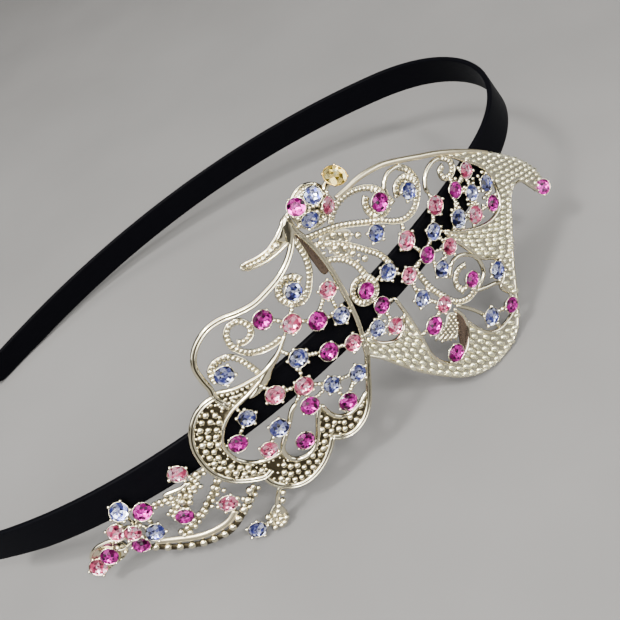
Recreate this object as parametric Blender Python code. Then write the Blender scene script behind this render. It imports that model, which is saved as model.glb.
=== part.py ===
"""Butterfly headband: a satin-covered springy band with a pierced, stone-set butterfly on one side.

The band is an arch that lies on its side. Places on it are charted in millimetres:
"along" runs along the band's middle line from the crown, positive down the butterfly's leg,
"across" runs over the band's width, positive upwards, and "height" stands out from the band.
Each piece is modelled flat in that chart, one unit to the millimetre, and is then bent round the
arch. In the flat chart X is across, Y is along and Z is height, which keeps it right-handed.
"""

import math
from collections import namedtuple

import bmesh
import bpy
from mathutils import Matrix, Vector

MM = 0.001

# Band: one crown arc and two side arcs; the strip leans in at its upper edge.
CROWN_RADIUS = 43.0
CROWN_HALF_ANGLE = math.radians(55.0)
CROWN_ARC = CROWN_RADIUS * CROWN_HALF_ANGLE
SIDE_RADIUS = 142.0
BAND_LEAN = math.radians(6.0)
BAND_WIDTH = 8.0
BAND_THICKNESS = 1.4
BAND_EDGE = 0.45
BAND_STEPS = 81
BAND_STEP = 5.0
TIP_WIDTHS = (0.62, 0.9)

# The casting's back stands just off the satin, and its wing tip keeps a gentler curve.
SEAT_GAP = 0.3
CASTING_BACK = BAND_THICKNESS / 2 + SEAT_GAP
WING_STRAIGHTENS_AT = 48.0
WING_TIP_RADIUS = 75.0

# How the headband rests: the arch rolls about X and pitches about Y until three places touch.
REST_ROLL = math.radians(-8.72)
REST_PITCH = math.radians(-8.28)

# Layers of the casting, as heights above its back.
Layer = namedtuple("Layer", "low high")
GROUND = Layer(0.15, 0.85)
BAR = Layer(0.25, 0.95)
SEAT = Layer(0.05, 1.3)
BAR_WIDTH = 0.9

# Stones: a table over eight facets on a flat back, in a round seat a little wider.
FACETS = 8
STONE_HEIGHT = 1.1
TABLE_SHARE = 0.55
SEAT_MARGIN = 0.3
STONE_GAP = 0.3
FUSED_SINK = 0.15
STALK_RADIUS = 1.1
STALK_SIDES = 6
LARGE = 2.05
SMALL = 1.85
TOPAZ = 2.35

# Faces of the fused casting that turn by less than this are one face.
FLAT_ANGLE = math.radians(0.5)

# Seats closer than this are joined by a bar, and so are a seat and the wire nearest to it.
SEAT_REACH = 7.0
WIRE_REACH = 5.2

Finish = namedtuple("Finish", "color metallic roughness")
FINISHES = {
    "black_satin": Finish((0.010, 0.010, 0.012), 0.0, 0.45),
    "plated_metal": Finish((0.78, 0.75, 0.66), 1.0, 0.25),
    "fuchsia": Finish((0.52, 0.01, 0.25), 0.1, 0.05),
    "rose": Finish((0.85, 0.22, 0.32), 0.1, 0.05),
    "blue": Finish((0.15, 0.22, 0.60), 0.1, 0.05),
    "topaz": Finish((0.80, 0.48, 0.10), 0.1, 0.05),
}

# A stone's middle, radius and colour; lift raises it, and it faces tilt degrees off the band's
# outward direction, towards an angle counted from along to across.
Stone = namedtuple("Stone", "along across radius color lift tilt toward", defaults=(0, 0, 0))

HIND_STONES = (
    Stone(109.0, 16.2, LARGE, "fuchsia"),
    Stone(100.4, 16.2, SMALL, "blue"),
    Stone(122.6, 12.0, LARGE, "blue"),
    Stone(105.0, 11.0, LARGE, "rose"),
    Stone(94.7, 11.0, SMALL, "rose"),
    Stone(100.5, 7.4, LARGE, "fuchsia"),
    Stone(108.7, 3.8, LARGE, "blue"),
    Stone(95.9, 4.4, SMALL, "blue"),
    Stone(117.5, 0.7, LARGE, "rose"),
    Stone(125.2, 0.6, SMALL, "blue"),
    Stone(102.9, 0.0, LARGE, "fuchsia"),
    Stone(130.4, -3.2, LARGE, "fuchsia"),
    Stone(111.7, -2.2, LARGE, "rose"),
    Stone(97.7, -2.6, SMALL, "rose"),
    Stone(121.6, -6.4, LARGE, "blue"),
    Stone(113.5, -7.0, LARGE, "fuchsia"),
    Stone(107.0, -6.6, SMALL, "blue"),
    Stone(126.4, -9.2, SMALL, "rose"),
    Stone(101.2, -9.0, SMALL, "blue"),
    Stone(119.3, -13.2, LARGE, "fuchsia"),
    Stone(106.8, -12.8, LARGE, "fuchsia"),
)

FORE_STONES = (
    Stone(73.6, 16.3, LARGE, "fuchsia"),
    Stone(66.4, 12.6, SMALL, "blue"),
    Stone(78.6, 12.0, SMALL, "blue"),
    Stone(88.3, 4.2, SMALL, "fuchsia"),
    Stone(81.9, 3.5, SMALL, "blue"),
    Stone(74.0, 5.2, LARGE, "rose"),
    Stone(63.1, 5.1, LARGE, "rose"),
    Stone(78.5, -1.2, SMALL, "rose"),
    Stone(72.1, -1.3, SMALL, "fuchsia"),
    Stone(60.2, -2.0, LARGE, "blue"),
    Stone(79.4, -7.7, SMALL, "blue"),
    Stone(55.8, -5.2, LARGE, "rose"),
    Stone(81.1, -15.1, LARGE, "fuchsia"),
    Stone(66.7, -15.2, SMALL, "fuchsia"),
    Stone(59.8, -19.7, LARGE, "blue"),
    Stone(81.0, -24.8, LARGE, "fuchsia"),
    Stone(68.4, -26.3, LARGE, "blue"),
    Stone(62.3, -29.2, SMALL, "fuchsia"),
)

# These sit too close to one another to part, so they are one with their seats.
CLOSE_STONES = (
    Stone(67.2, 1.0, SMALL, "blue"),
    Stone(66.1, -4.9, SMALL, "rose"),
    Stone(71.1, -7.0, SMALL, "blue"),
    Stone(75.9, -13.6, SMALL, "rose"),
    Stone(56.1, 3.0, SMALL, "fuchsia"),
    Stone(50.3, 3.6, SMALL, "rose"),
    Stone(52.7, -1.2, SMALL, "blue"),
    Stone(47.6, -3.1, SMALL, "blue"),
    Stone(49.4, -7.9, SMALL, "fuchsia"),
    Stone(87.5, -1.4, SMALL, "fuchsia"),
    Stone(91.5, -4.6, SMALL, "blue"),
    Stone(88.0, -7.6, SMALL, "rose"),
    Stone(31.3, -20.6, SMALL, "fuchsia", 0.2, 20, -110),
    Stone(88.6, 29.3, SMALL, "fuchsia", 1.2, 25, 41),
    Stone(84.4, 29.0, SMALL, "blue", 1.2, 25, 130),
    Stone(87.8, 25.1, SMALL, "blue", 1.2, 25, -45),
    Stone(83.2, 24.8, SMALL, "rose", 1.2, 25, 218),
    Stone(141.1, -25.6, LARGE, "blue"),
)

TOPAZ_STONE = Stone(78.1, 28.2, TOPAZ, "topaz", 2.2, 25, 130)

SPRAY_STONES = (
    Stone(161.5, -1.8, LARGE, "blue", 0.9, 22, 100),
    Stone(157.4, -4.6, LARGE, "fuchsia", 0.9, 22, 146),
    Stone(158.5, -11.3, LARGE, "blue", 0.9, 22, 218),
    Stone(164.2, -13.1, LARGE, "fuchsia", 0.9, 22, 288),
    Stone(167.0, -6.3, LARGE, "rose", 0.9, 30, 23),
    Stone(162.5, -8.1, SMALL, "rose", 2.0, 8, 134),
    Stone(172.8, -12.0, LARGE, "fuchsia", 0.3, 12, 250),
    Stone(177.6, -13.8, LARGE, "rose", 0.3, 25, 300),
    Stone(151.1, -11.7, LARGE, "fuchsia"),
    Stone(145.1, -1.1, LARGE, "rose"),
    Stone(141.6, -14.9, LARGE, "rose"),
)

# The head's domed plate, and the arm that carries the topaz stone from it.
HEAD_MIDDLE = (86.0, 27.0)
HEAD_SIDES = 10
HEAD_RADII = (4.8, 3.6)
HEAD_DOME = Layer(0.1, 1.7)
TOPAZ_ARM_START = (84.4, 26.6)

# Wires of the casting, each a run of (along, across) places: their radii and middle heights.
RIM, EDGE, SCROLL = 0.62, 0.8, 0.48
RIM_MIDDLE, SCROLL_MIDDLE = 0.72, 0.62
WIRE_BEVEL_STEPS = 1

HIND_RIMS = {
    "top_lobe": (
        (92.2, 28.0), (94.2, 24.6), (97.0, 22.2), (100.5, 20.6), (104.3, 20.0), (108.2, 19.8),
        (112.0, 20.7), (115.2, 21.9), (118.4, 22.3), (121.6, 21.5), (124.4, 19.7), (126.2, 17.2),
        (126.8, 13.8), (126.9, 11.0), (127.4, 9.0), (126.6, 5.2),
    ),
    "side_lobe": (
        (127.4, 9.0), (130.4, 9.0), (133.2, 8.0), (136.2, 5.5), (138.4, 1.9), (139.3, -2.2),
        (139.2, -6.2), (137.6, -10.1), (134.7, -12.9), (131.4, -14.8), (129.2, -14.4),
    ),
    "low_lobe": (
        (131.4, -14.8), (131.1, -17.4), (129.5, -20.1), (127.1, -22.0), (124.0, -22.6),
        (120.2, -21.7), (116.9, -19.8), (114.4, -17.6),
    ),
    "inner_lobe": (
        (114.4, -17.6), (112.7, -19.3), (110.0, -20.2), (106.8, -19.6), (104.0, -17.7),
        (101.6, -14.6), (99.2, -11.0), (97.0, -7.9), (95.6, -5.4),
    ),
    "centre": (
        (97.0, -7.9), (95.2, -3.4), (93.6, 1.0), (92.2, 7.4), (91.3, 13.8), (91.2, 21.0),
        (91.8, 26.8),
    ),
    "side_cell": (
        (117.6, 5.4), (120.8, 4.6), (124.0, 4.2), (127.2, 3.6), (130.4, 1.8), (132.8, -1.0),
        (133.6, -3.8), (133.2, -7.0), (131.2, -9.8), (128.2, -11.6), (125.2, -12.2),
    ),
    "low_cell": (
        (117.2, -5.0), (119.2, -7.0), (121.8, -9.2), (124.0, -11.2), (124.7, -13.6),
        (123.9, -15.9), (121.5, -17.1), (118.8, -16.6), (116.4, -14.5), (114.2, -11.4),
        (112.0, -9.0),
    ),
    "inner_cell": (
        (111.6, -9.2), (111.4, -12.5), (110.2, -14.8), (107.9, -15.9), (105.0, -15.6),
        (102.2, -14.6),
    ),
    "bridge": (
        (126.6, 9.6), (123.2, 7.7), (120.0, 6.8), (116.8, 6.4), (113.6, 6.8), (110.6, 7.9),
        (107.6, 9.8),
    ),
}

HIND_SCROLLS = {
    "neck_scroll": (
        (93.2, 24.6), (93.9, 21.0), (95.0, 18.2), (96.8, 15.6), (98.4, 13.6), (100.8, 12.9),
        (103.0, 14.2), (103.7, 16.4), (102.7, 18.8), (100.4, 19.6), (98.0, 18.7), (97.1, 16.8),
    ),
    "middle_scroll": (
        (112.2, 20.2), (114.4, 20.2), (116.6, 19.2), (117.6, 17.2), (117.1, 15.2), (115.9, 13.0),
        (113.6, 11.0), (110.8, 10.1), (107.8, 10.3),
    ),
    "middle_curl": (
        (117.2, 16.2), (115.4, 14.7), (113.2, 15.0), (112.2, 16.9), (112.4, 19.0), (114.0, 20.2),
    ),
    "side_scroll": (
        (124.8, 13.4), (124.0, 15.2), (121.8, 16.1), (119.4, 15.2), (118.0, 13.0), (117.3, 10.0),
        (117.0, 6.6),
    ),
}

FORE_RIMS = {
    "lower_edge": (
        (33.4, -19.8), (35.0, -16.6), (36.8, -12.9), (40.4, -11.2), (44.0, -12.4), (47.3, -15.6),
        (50.7, -19.0), (54.0, -22.8), (56.9, -26.7), (59.5, -30.3), (62.0, -33.4), (64.3, -35.5),
        (67.4, -36.8), (71.2, -37.0), (75.4, -36.2), (79.1, -34.5), (82.8, -31.4), (86.2, -27.0),
        (89.4, -22.1), (92.2, -16.7), (94.5, -11.8), (97.0, -7.9),
    ),
    "tip_cell": (
        (64.7, -1.3), (62.2, -4.1), (58.9, -6.9), (55.2, -9.3), (51.7, -10.6), (48.0, -10.3),
        (45.6, -7.2), (44.8, -3.6), (45.4, -0.2), (47.2, 3.0), (49.4, 6.2), (51.6, 9.6),
    ),
    "low_cell": (
        (64.9, -1.6), (63.6, -6.0), (62.2, -10.4), (60.8, -14.4), (58.2, -17.2), (56.9, -19.9),
        (58.4, -22.6), (61.2, -24.0), (60.2, -27.4),
    ),
    "leaf_cell": (
        (84.1, -2.6), (84.4, -9.7), (85.0, -15.2), (85.6, -20.8), (84.0, -25.2), (81.0, -27.4),
        (77.4, -26.5), (74.8, -23.6), (73.9, -20.2), (74.6, -16.6),
    ),
    "foot_cell": (
        (73.9, -21.6), (72.9, -25.4), (71.3, -28.8), (68.6, -31.0), (65.2, -31.6), (62.0, -31.4),
    ),
    "heart_cell": (
        (94.6, -4.6), (93.0, -8.0), (90.0, -10.4), (86.8, -9.9), (84.6, -7.2),
    ),
}

FORE_SCROLLS = {
    "crest_scroll": (
        (85.0, 20.9), (81.1, 22.8), (77.0, 22.4), (73.4, 20.2), (71.2, 17.8), (71.0, 15.4),
        (72.4, 13.6), (74.8, 13.2), (76.5, 14.8), (76.8, 17.4), (75.6, 19.6),
    ),
    "long_scroll": (
        (71.0, 15.2), (70.2, 17.6), (67.6, 19.0), (64.6, 18.2), (62.9, 15.6), (62.8, 12.6),
        (64.6, 10.0), (67.6, 8.4), (70.8, 8.6), (73.4, 10.4), (75.8, 13.0), (78.9, 15.4),
        (81.9, 17.8), (85.2, 20.0), (91.2, 22.6),
    ),
    "ring": (
        (69.2, 13.4), (67.8, 15.4), (65.2, 15.6), (63.6, 14.2), (62.9, 12.4),
    ),
    "outer_vein": ((91.2, 15.2), (88.2, 12.8), (86.4, 9.4), (86.3, 5.0)),
    "inner_vein": ((85.2, 15.0), (82.0, 11.6), (80.5, 8.2), (80.0, 3.4)),
    "upper_curl": (
        (62.0, 7.6), (61.8, 10.2), (59.4, 11.9), (56.7, 12.3), (53.6, 11.2), (52.4, 8.9),
        (53.6, 6.8), (56.0, 6.6), (57.4, 8.4), (56.4, 10.4),
    ),
    "lower_ring": (
        (70.2, -16.6), (71.0, -13.8), (70.4, -11.0), (67.8, -9.4), (64.8, -9.9), (63.0, -12.2),
        (63.0, -15.2),
    ),
    "lower_vein": (
        (76.2, -1.6), (75.9, -8.0), (74.6, -12.4), (73.4, -16.0), (70.2, -18.1), (66.2, -18.3),
        (62.6, -19.6), (59.8, -22.0),
    ),
    "foot_vein": ((73.6, -16.6), (71.2, -20.6), (69.6, -24.2), (68.6, -28.0), (67.6, -31.2)),
}

TOP_EDGE = (
    (82.4, 24.9), (79.0, 24.9), (75.4, 24.2), (71.1, 22.9), (67.2, 21.2), (63.6, 18.9),
    (59.2, 16.0), (54.2, 12.5), (49.4, 8.6), (44.8, 4.5), (40.6, 0.2), (36.4, -4.6),
    (33.4, -8.6), (30.8, -12.8), (29.4, -16.4), (29.2, -19.2),
)

STALK = ((130.4, -19.2), (132.2, -21.0), (134.2, -23.4), (136.4, -25.4), (139.0, -26.0))

# Solid grounds of the casting, which carry granules or hammered rows.
GROUNDS = {
    "hind_border": (
        (116.8, 6.2), (120.0, 6.8), (123.2, 7.8), (127.0, 9.2), (130.4, 9.0), (133.2, 8.0),
        (136.2, 5.5), (138.4, 1.9), (139.3, -2.2), (139.2, -6.2), (137.6, -10.1), (134.7, -12.9),
        (131.4, -14.8), (131.1, -17.4), (129.5, -20.1), (127.1, -22.0), (124.0, -22.6),
        (120.2, -21.7), (116.9, -19.8), (114.4, -17.6), (112.7, -19.3), (110.0, -20.2),
        (106.8, -19.6), (104.0, -17.7), (101.8, -14.9), (105.0, -15.4), (107.9, -15.8),
        (110.2, -14.7), (111.5, -12.5), (112.4, -9.6), (114.2, -11.5), (116.4, -14.6),
        (118.8, -16.7), (121.5, -17.1), (123.9, -15.8), (124.7, -13.6), (125.2, -12.2),
        (128.2, -11.5), (131.2, -9.8), (133.2, -7.0), (133.6, -3.8), (132.8, -1.0), (130.4, 1.8),
        (127.2, 3.6), (124.0, 4.3), (120.8, 4.7),
    ),
    "fore_field": (
        (50.8, 9.6), (44.8, 4.6), (40.6, 0.3), (36.4, -4.5), (33.4, -8.5), (30.8, -12.7),
        (29.4, -16.4), (29.4, -19.2), (33.4, -19.8), (35.0, -16.6), (36.8, -12.9), (40.4, -11.2),
        (44.0, -12.4), (47.3, -15.6), (50.7, -19.0), (54.0, -22.8), (56.9, -26.7), (59.5, -30.3),
        (62.0, -33.4), (64.3, -35.5), (67.4, -36.8), (71.2, -37.0), (75.4, -36.2), (79.1, -34.5),
        (82.8, -31.4), (86.2, -27.0), (89.4, -22.1), (92.2, -16.7), (94.5, -11.8), (96.2, -7.4),
        (94.6, -4.8), (93.0, -8.0), (90.0, -10.4), (86.8, -9.9), (84.7, -8.0), (84.5, -10.6),
        (85.0, -15.2), (85.6, -20.8), (84.0, -25.2), (81.0, -27.4), (77.4, -26.5), (74.8, -23.6),
        (73.9, -21.2), (72.9, -25.4), (71.3, -28.8), (68.6, -31.0), (65.2, -31.6), (62.0, -31.2),
        (60.3, -27.2), (61.2, -24.1), (58.4, -22.4), (57.1, -19.9), (58.4, -17.3), (60.8, -14.4),
        (62.2, -10.4), (63.6, -6.0), (64.6, -2.0), (62.2, -4.1), (58.9, -6.9), (55.2, -9.3),
        (51.7, -10.6), (48.0, -10.3), (45.6, -7.2), (44.8, -3.6), (45.4, -0.2), (47.2, 3.0),
        (49.4, 6.2),
    ),
    "antenna_leaf": (
        (105.4, 27.9), (102.9, 27.2), (100.1, 26.9), (97.6, 27.4), (95.0, 28.8), (92.4, 30.6),
        (90.6, 29.6), (91.6, 26.2), (93.8, 24.6), (96.8, 24.7), (100.1, 25.1), (103.1, 26.2),
    ),
    "petal": ((77.0, -15.6), (78.4, -19.0), (77.6, -22.6), (75.0, -24.2), (74.2, -20.0)),
    "vein_fill": (
        (91.0, 22.6), (86.6, 20.8), (82.6, 18.2), (83.4, 15.4), (85.4, 12.0), (86.4, 10.2),
        (88.2, 12.8), (88.8, 14.0), (87.4, 15.6), (88.0, 18.4), (91.0, 20.2),
    ),
    "stalk_leaf": (
        (133.6, -23.0), (136.4, -24.0), (138.6, -26.4), (138.2, -28.8), (135.4, -29.6),
        (133.6, -27.4),
    ),
}
BLADE = (
    (92.2, 26.2), (93.4, 24.4), (93.9, 20.0), (93.7, 16.4), (92.3, 13.6), (91.4, 17.0),
    (91.4, 22.0),
)

SPRAY_STEMS = {
    "balled": (
        (164.6, -14.2), (161.2, -16.6), (158.9, -18.3), (156.4, -19.7), (154.0, -20.9),
        (151.8, -21.6), (149.2, -22.0), (146.7, -22.2), (144.4, -21.6), (141.9, -20.3),
        (139.0, -18.7), (137.0, -17.2), (135.6, -15.6),
    ),
    "smooth": (
        (161.2, -14.2), (157.4, -16.3), (154.0, -18.1), (150.8, -19.3), (147.2, -19.7),
        (144.2, -19.3), (141.8, -18.0),
    ),
    "middle": (
        (141.4, -8.4), (142.8, -9.9), (145.4, -12.4), (148.3, -14.1), (150.8, -15.1),
        (153.6, -15.5), (156.6, -16.2),
    ),
    "upper": (
        (141.2, -3.8), (144.4, -5.2), (147.2, -6.3), (149.7, -7.7), (151.4, -9.4),
    ),
    "branch": ((148.4, -6.6), (151.0, -5.2), (154.0, -4.2), (157.0, -4.4)),
    "leaf_edge": (
        (166.0, -9.4), (169.6, -8.3), (172.6, -8.1), (175.2, -8.9), (177.6, -10.8),
    ),
    "leaf_stalk": ((164.6, -11.0), (168.4, -12.0), (170.4, -11.4)),
}
SPRAY_LEAF = (
    (167.9, -9.4), (169.7, -8.2), (172.6, -8.1), (175.2, -8.9), (177.4, -10.7), (178.9, -13.2),
    (176.8, -15.6), (173.2, -14.7), (169.7, -13.9), (167.6, -12.2),
)


def clear_scene():
    for old in list(bpy.data.objects):
        bpy.data.objects.remove(old)


def make_material(name):
    finish = FINISHES[name]
    material = bpy.data.materials.new(name)
    material.use_nodes = True
    shader = material.node_tree.nodes["Principled BSDF"]
    shader.inputs["Base Color"].default_value = (*finish.color, 1.0)
    shader.inputs["Metallic"].default_value = finish.metallic
    shader.inputs["Roughness"].default_value = finish.roughness
    return material


def band_place(along):
    """The band's middle line at a distance from the crown, and the outward direction there."""
    turn = min(abs(along), CROWN_ARC) / CROWN_RADIUS
    x = CROWN_RADIUS * (math.cos(turn) - 1)
    y = CROWN_RADIUS * math.sin(turn)
    past_crown = abs(along) - CROWN_ARC
    if past_crown > 0:
        side_turn = turn + past_crown / SIDE_RADIUS
        x += SIDE_RADIUS * (math.cos(side_turn) - math.cos(turn))
        y += SIDE_RADIUS * (math.sin(side_turn) - math.sin(turn))
        turn = side_turn
    leg = -math.copysign(1.0, along)
    return Vector((x, leg * y, 0)), Vector((math.cos(turn), leg * math.sin(turn), 0))


def casting_place(along):
    """As band_place, but the wing tip leaves the band on a gentler arc."""
    if along >= WING_STRAIGHTENS_AT:
        return band_place(along)
    start, out = band_place(WING_STRAIGHTENS_AT)
    centre = start - out * WING_TIP_RADIUS
    turn = math.atan2(-out.y, out.x) + (along - WING_STRAIGHTENS_AT) / WING_TIP_RADIUS
    out = Vector((math.cos(turn), -math.sin(turn), 0))
    return centre + out * WING_TIP_RADIUS, out


def bend(mesh, place, back=0.0):
    """Carries a flat chart's mesh onto the arch, in metres, lying as the headband rests."""
    rest = Matrix.Rotation(REST_ROLL, 3, "X") @ Matrix.Rotation(REST_PITCH, 3, "Y")
    for vertex in mesh.vertices:
        across, along, height = vertex.co
        height += back
        spot, out = place(along)
        outward = height * math.cos(BAND_LEAN) - across * math.sin(BAND_LEAN)
        upward = height * math.sin(BAND_LEAN) + across * math.cos(BAND_LEAN)
        vertex.co = rest @ (spot + out * outward + Vector((0, 0, upward))) * MM


def add_piece(name, mesh, finish, collection):
    mesh.name = name
    mesh.materials.clear()
    mesh.materials.append(finish)
    piece = bpy.data.objects.new(name, mesh)
    collection.objects.link(piece)
    return piece


def mesh_of(bm):
    mesh = bpy.data.meshes.new("flat")
    bm.to_mesh(mesh)
    bm.free()
    return mesh


def curve_mesh(curve):
    """The closed mesh of a curve, its loose caps welded on."""
    guide = bpy.data.objects.new("guide", curve)
    bpy.context.scene.collection.objects.link(guide)
    graph = bpy.context.evaluated_depsgraph_get()
    mesh = bpy.data.meshes.new_from_object(guide.evaluated_get(graph))
    bpy.data.objects.remove(guide)
    bm = bmesh.new()
    bm.from_mesh(mesh)
    bmesh.ops.remove_doubles(bm, verts=bm.verts, dist=1e-4)
    bpy.data.meshes.remove(mesh)
    return mesh_of(bm)


def add_spline(curve, path, level, closed):
    spline = curve.splines.new("POLY")
    spline.points.add(len(path) - 1)
    for point, (along, across) in zip(spline.points, path):
        point.co = (across, along, level, 1.0)
    spline.use_cyclic_u = closed


def wire_mesh(path, radius, middle):
    """A six-sided wire along a path, its middle line at one height."""
    curve = bpy.data.curves.new("wire", "CURVE")
    curve.dimensions = "3D"
    curve.bevel_depth = radius
    curve.bevel_resolution = WIRE_BEVEL_STEPS
    curve.use_fill_caps = True
    add_spline(curve, path, middle, closed=False)
    return curve_mesh(curve)


def ground_mesh(outline, layer=GROUND):
    """A flat plate with a closed outline."""
    curve = bpy.data.curves.new("ground", "CURVE")
    curve.dimensions = "2D"
    curve.fill_mode = "BOTH"
    curve.extrude = (layer.high - layer.low) / 2
    add_spline(curve, outline, 0.0, closed=True)
    mesh = curve_mesh(curve)
    mesh.transform(Matrix.Translation((0, 0, (layer.high + layer.low) / 2)))
    return mesh


def cone_mesh(sides, low_radius, high_radius, layer, frame):
    """An upright cone or cylinder between two heights of a frame."""
    bm = bmesh.new()
    middle = Matrix.Translation((0, 0, (layer.low + layer.high) / 2))
    bmesh.ops.create_cone(
        bm, cap_ends=True, segments=sides, radius1=low_radius, radius2=high_radius,
        depth=layer.high - layer.low, matrix=frame @ middle,
    )
    return mesh_of(bm)


def bar_mesh(start, end):
    """A straight bar between two (along, across) places."""
    along, across = end[0] - start[0], end[1] - start[1]
    middle = ((start[1] + end[1]) / 2, (start[0] + end[0]) / 2, (BAR.low + BAR.high) / 2)
    turn = Matrix.Rotation(math.atan2(along, across), 4, "Z")
    size = Matrix.Diagonal((math.hypot(along, across), BAR_WIDTH, BAR.high - BAR.low, 1))
    bm = bmesh.new()
    bmesh.ops.create_cube(bm, size=1, matrix=Matrix.Translation(middle) @ turn @ size)
    return mesh_of(bm)


def stone_frame(stone):
    """Where a stone's seat starts and which way it faces, in the flat chart."""
    toward = math.radians(stone.toward)
    axis = Vector((-math.cos(toward), math.sin(toward), 0))
    place = Matrix.Translation((stone.across, stone.along, stone.lift))
    return place @ Matrix.Rotation(math.radians(stone.tilt), 4, axis)


def stone_mesh(stone, base):
    return cone_mesh(
        FACETS, stone.radius, stone.radius * TABLE_SHARE,
        Layer(base, base + STONE_HEIGHT), stone_frame(stone),
    )


def seat_meshes(stone, with_stone):
    """The round seat of a stone, the stalk under a lifted one, and the stone if they are one."""
    rim = stone.radius + SEAT_MARGIN
    meshes = [cone_mesh(FACETS, rim, rim, SEAT, stone_frame(stone))]
    if stone.lift:
        place = Matrix.Translation((stone.across, stone.along, 0))
        layer = Layer(GROUND.low, stone.lift + SEAT.high / 2)
        meshes.append(cone_mesh(STALK_SIDES, STALK_RADIUS, STALK_RADIUS, layer, place))
    if with_stone:
        meshes.append(stone_mesh(stone, SEAT.high - FUSED_SINK))
    return meshes


def seat_bars(stones):
    """Bars between the middles of neighbouring seats."""
    meshes = []
    for i, one in enumerate(stones):
        for other in stones[i + 1:]:
            if math.hypot(one.along - other.along, one.across - other.across) < SEAT_REACH:
                meshes.append(bar_mesh((one.along, one.across), (other.along, other.across)))
    return meshes


def nearest_on(path, along, across):
    """The place on a run of straight stretches that lies nearest to a given one."""
    here = Vector((along, across))
    best = None
    for start, end in zip(path, path[1:]):
        a = Vector(start)
        run = Vector(end) - a
        share = min(max((here - a).dot(run) / run.length_squared, 0.0), 1.0)
        spot = a + run * share
        if best is None or (spot - here).length < (best - here).length:
            best = spot
    return best


def wire_bars(stones, paths):
    """A bar from each seat to the nearest wire, where one is in reach."""
    meshes = []
    for stone in stones:
        here = Vector((stone.along, stone.across))
        spots = [nearest_on(path, *here) for path in paths]
        spot = min(spots, key=lambda found: (found - here).length)
        if (spot - here).length < WIRE_REACH:
            meshes.append(bar_mesh(tuple(here), tuple(spot)))
    return meshes


def fuse(meshes):
    """One body from overlapping closed meshes, with flat faces cut into triangles."""
    bm = bmesh.new()
    for mesh in meshes[1:]:
        bm.from_mesh(mesh)
    body = bpy.data.objects.new("body", mesh_of(bm))
    first = bpy.data.objects.new("first", meshes[0])
    for helper in (body, first):
        bpy.context.scene.collection.objects.link(helper)
    union = body.modifiers.new("union", "BOOLEAN")
    union.operation = "UNION"
    union.solver = "EXACT"
    union.use_self = True
    union.object = first
    graph = bpy.context.evaluated_depsgraph_get()
    mesh = bpy.data.meshes.new_from_object(body.evaluated_get(graph))
    for helper in (body, first):
        bpy.data.objects.remove(helper)
    bm = bmesh.new()
    bm.from_mesh(mesh)
    bmesh.ops.dissolve_limit(bm, angle_limit=FLAT_ANGLE, verts=bm.verts, edges=bm.edges)
    bmesh.ops.triangulate(bm, faces=bm.faces)
    bpy.data.meshes.remove(mesh)
    return mesh_of(bm)


def band_mesh():
    """The satin strip: one section with eased edges, narrowed at both tips."""
    half_width, half_depth = BAND_WIDTH / 2, BAND_THICKNESS / 2
    flat_width, flat_depth = half_width - BAND_EDGE, half_depth - BAND_EDGE
    section = (
        (flat_width, half_depth), (-flat_width, half_depth), (-half_width, flat_depth),
        (-half_width, -flat_depth), (-flat_width, -half_depth), (flat_width, -half_depth),
        (half_width, -flat_depth), (half_width, flat_depth),
    )
    bm = bmesh.new()
    rings = []
    for i in range(BAND_STEPS + 1):
        along = (i - BAND_STEPS / 2) * BAND_STEP
        from_tip = min(i, BAND_STEPS - i)
        share = TIP_WIDTHS[from_tip] if from_tip < len(TIP_WIDTHS) else 1.0
        rings.append([bm.verts.new((across * share, along, height)) for across, height in section])
    for ring, after in zip(rings, rings[1:]):
        for k in range(len(section)):
            bm.faces.new((ring[k - 1], ring[k], after[k], after[k - 1]))
    bm.faces.new(rings[0])
    bm.faces.new(rings[-1])
    bmesh.ops.recalc_face_normals(bm, faces=bm.faces)
    return mesh_of(bm)


def butterfly_mesh():
    rims = {**HIND_RIMS, **{f"fore_{name}": path for name, path in FORE_RIMS.items()}}
    scrolls = {**HIND_SCROLLS, **FORE_SCROLLS}
    meshes = [wire_mesh(TOP_EDGE, EDGE, RIM_MIDDLE), wire_mesh(STALK, SCROLL, SCROLL_MIDDLE)]
    meshes += [wire_mesh(path, RIM, RIM_MIDDLE) for path in rims.values()]
    meshes += [wire_mesh(path, SCROLL, SCROLL_MIDDLE) for path in scrolls.values()]
    meshes += [ground_mesh(outline) for outline in GROUNDS.values()]
    meshes.append(ground_mesh(BLADE))
    head = Matrix.Translation((HEAD_MIDDLE[1], HEAD_MIDDLE[0], 0))
    meshes.append(cone_mesh(HEAD_SIDES, *HEAD_RADII, HEAD_DOME, head))
    paths = [*rims.values(), *scrolls.values(), TOP_EDGE, STALK]
    loose = [*HIND_STONES, *FORE_STONES]
    stones = [*loose, *CLOSE_STONES]
    meshes += seat_bars(stones)
    meshes += wire_bars(stones, paths)
    meshes.append(bar_mesh((TOPAZ_STONE.along, TOPAZ_STONE.across), TOPAZ_ARM_START))
    for stone in [*loose, TOPAZ_STONE]:
        meshes += seat_meshes(stone, with_stone=False)
    for stone in CLOSE_STONES:
        meshes += seat_meshes(stone, with_stone=True)
    return fuse(meshes)


def spray_mesh():
    meshes = [wire_mesh(path, RIM, SCROLL_MIDDLE) for path in SPRAY_STEMS.values()]
    meshes.append(ground_mesh(SPRAY_LEAF))
    meshes += seat_bars(SPRAY_STONES)
    meshes += wire_bars(SPRAY_STONES, list(SPRAY_STEMS.values()))
    for stone in SPRAY_STONES:
        meshes += seat_meshes(stone, with_stone=True)
    return fuse(meshes)


def stand_on_floor(pieces):
    """Moves every piece so that the headband's box stands on the floor about the origin."""
    corners = [vertex.co for piece in pieces for vertex in piece.data.vertices]
    middle = [(min(c[k] for c in corners) + max(c[k] for c in corners)) / 2 for k in range(2)]
    floor = min(c.z for c in corners)
    shift = Matrix.Translation((-middle[0], -middle[1], -floor))
    for piece in pieces:
        piece.data.transform(shift)


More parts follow.
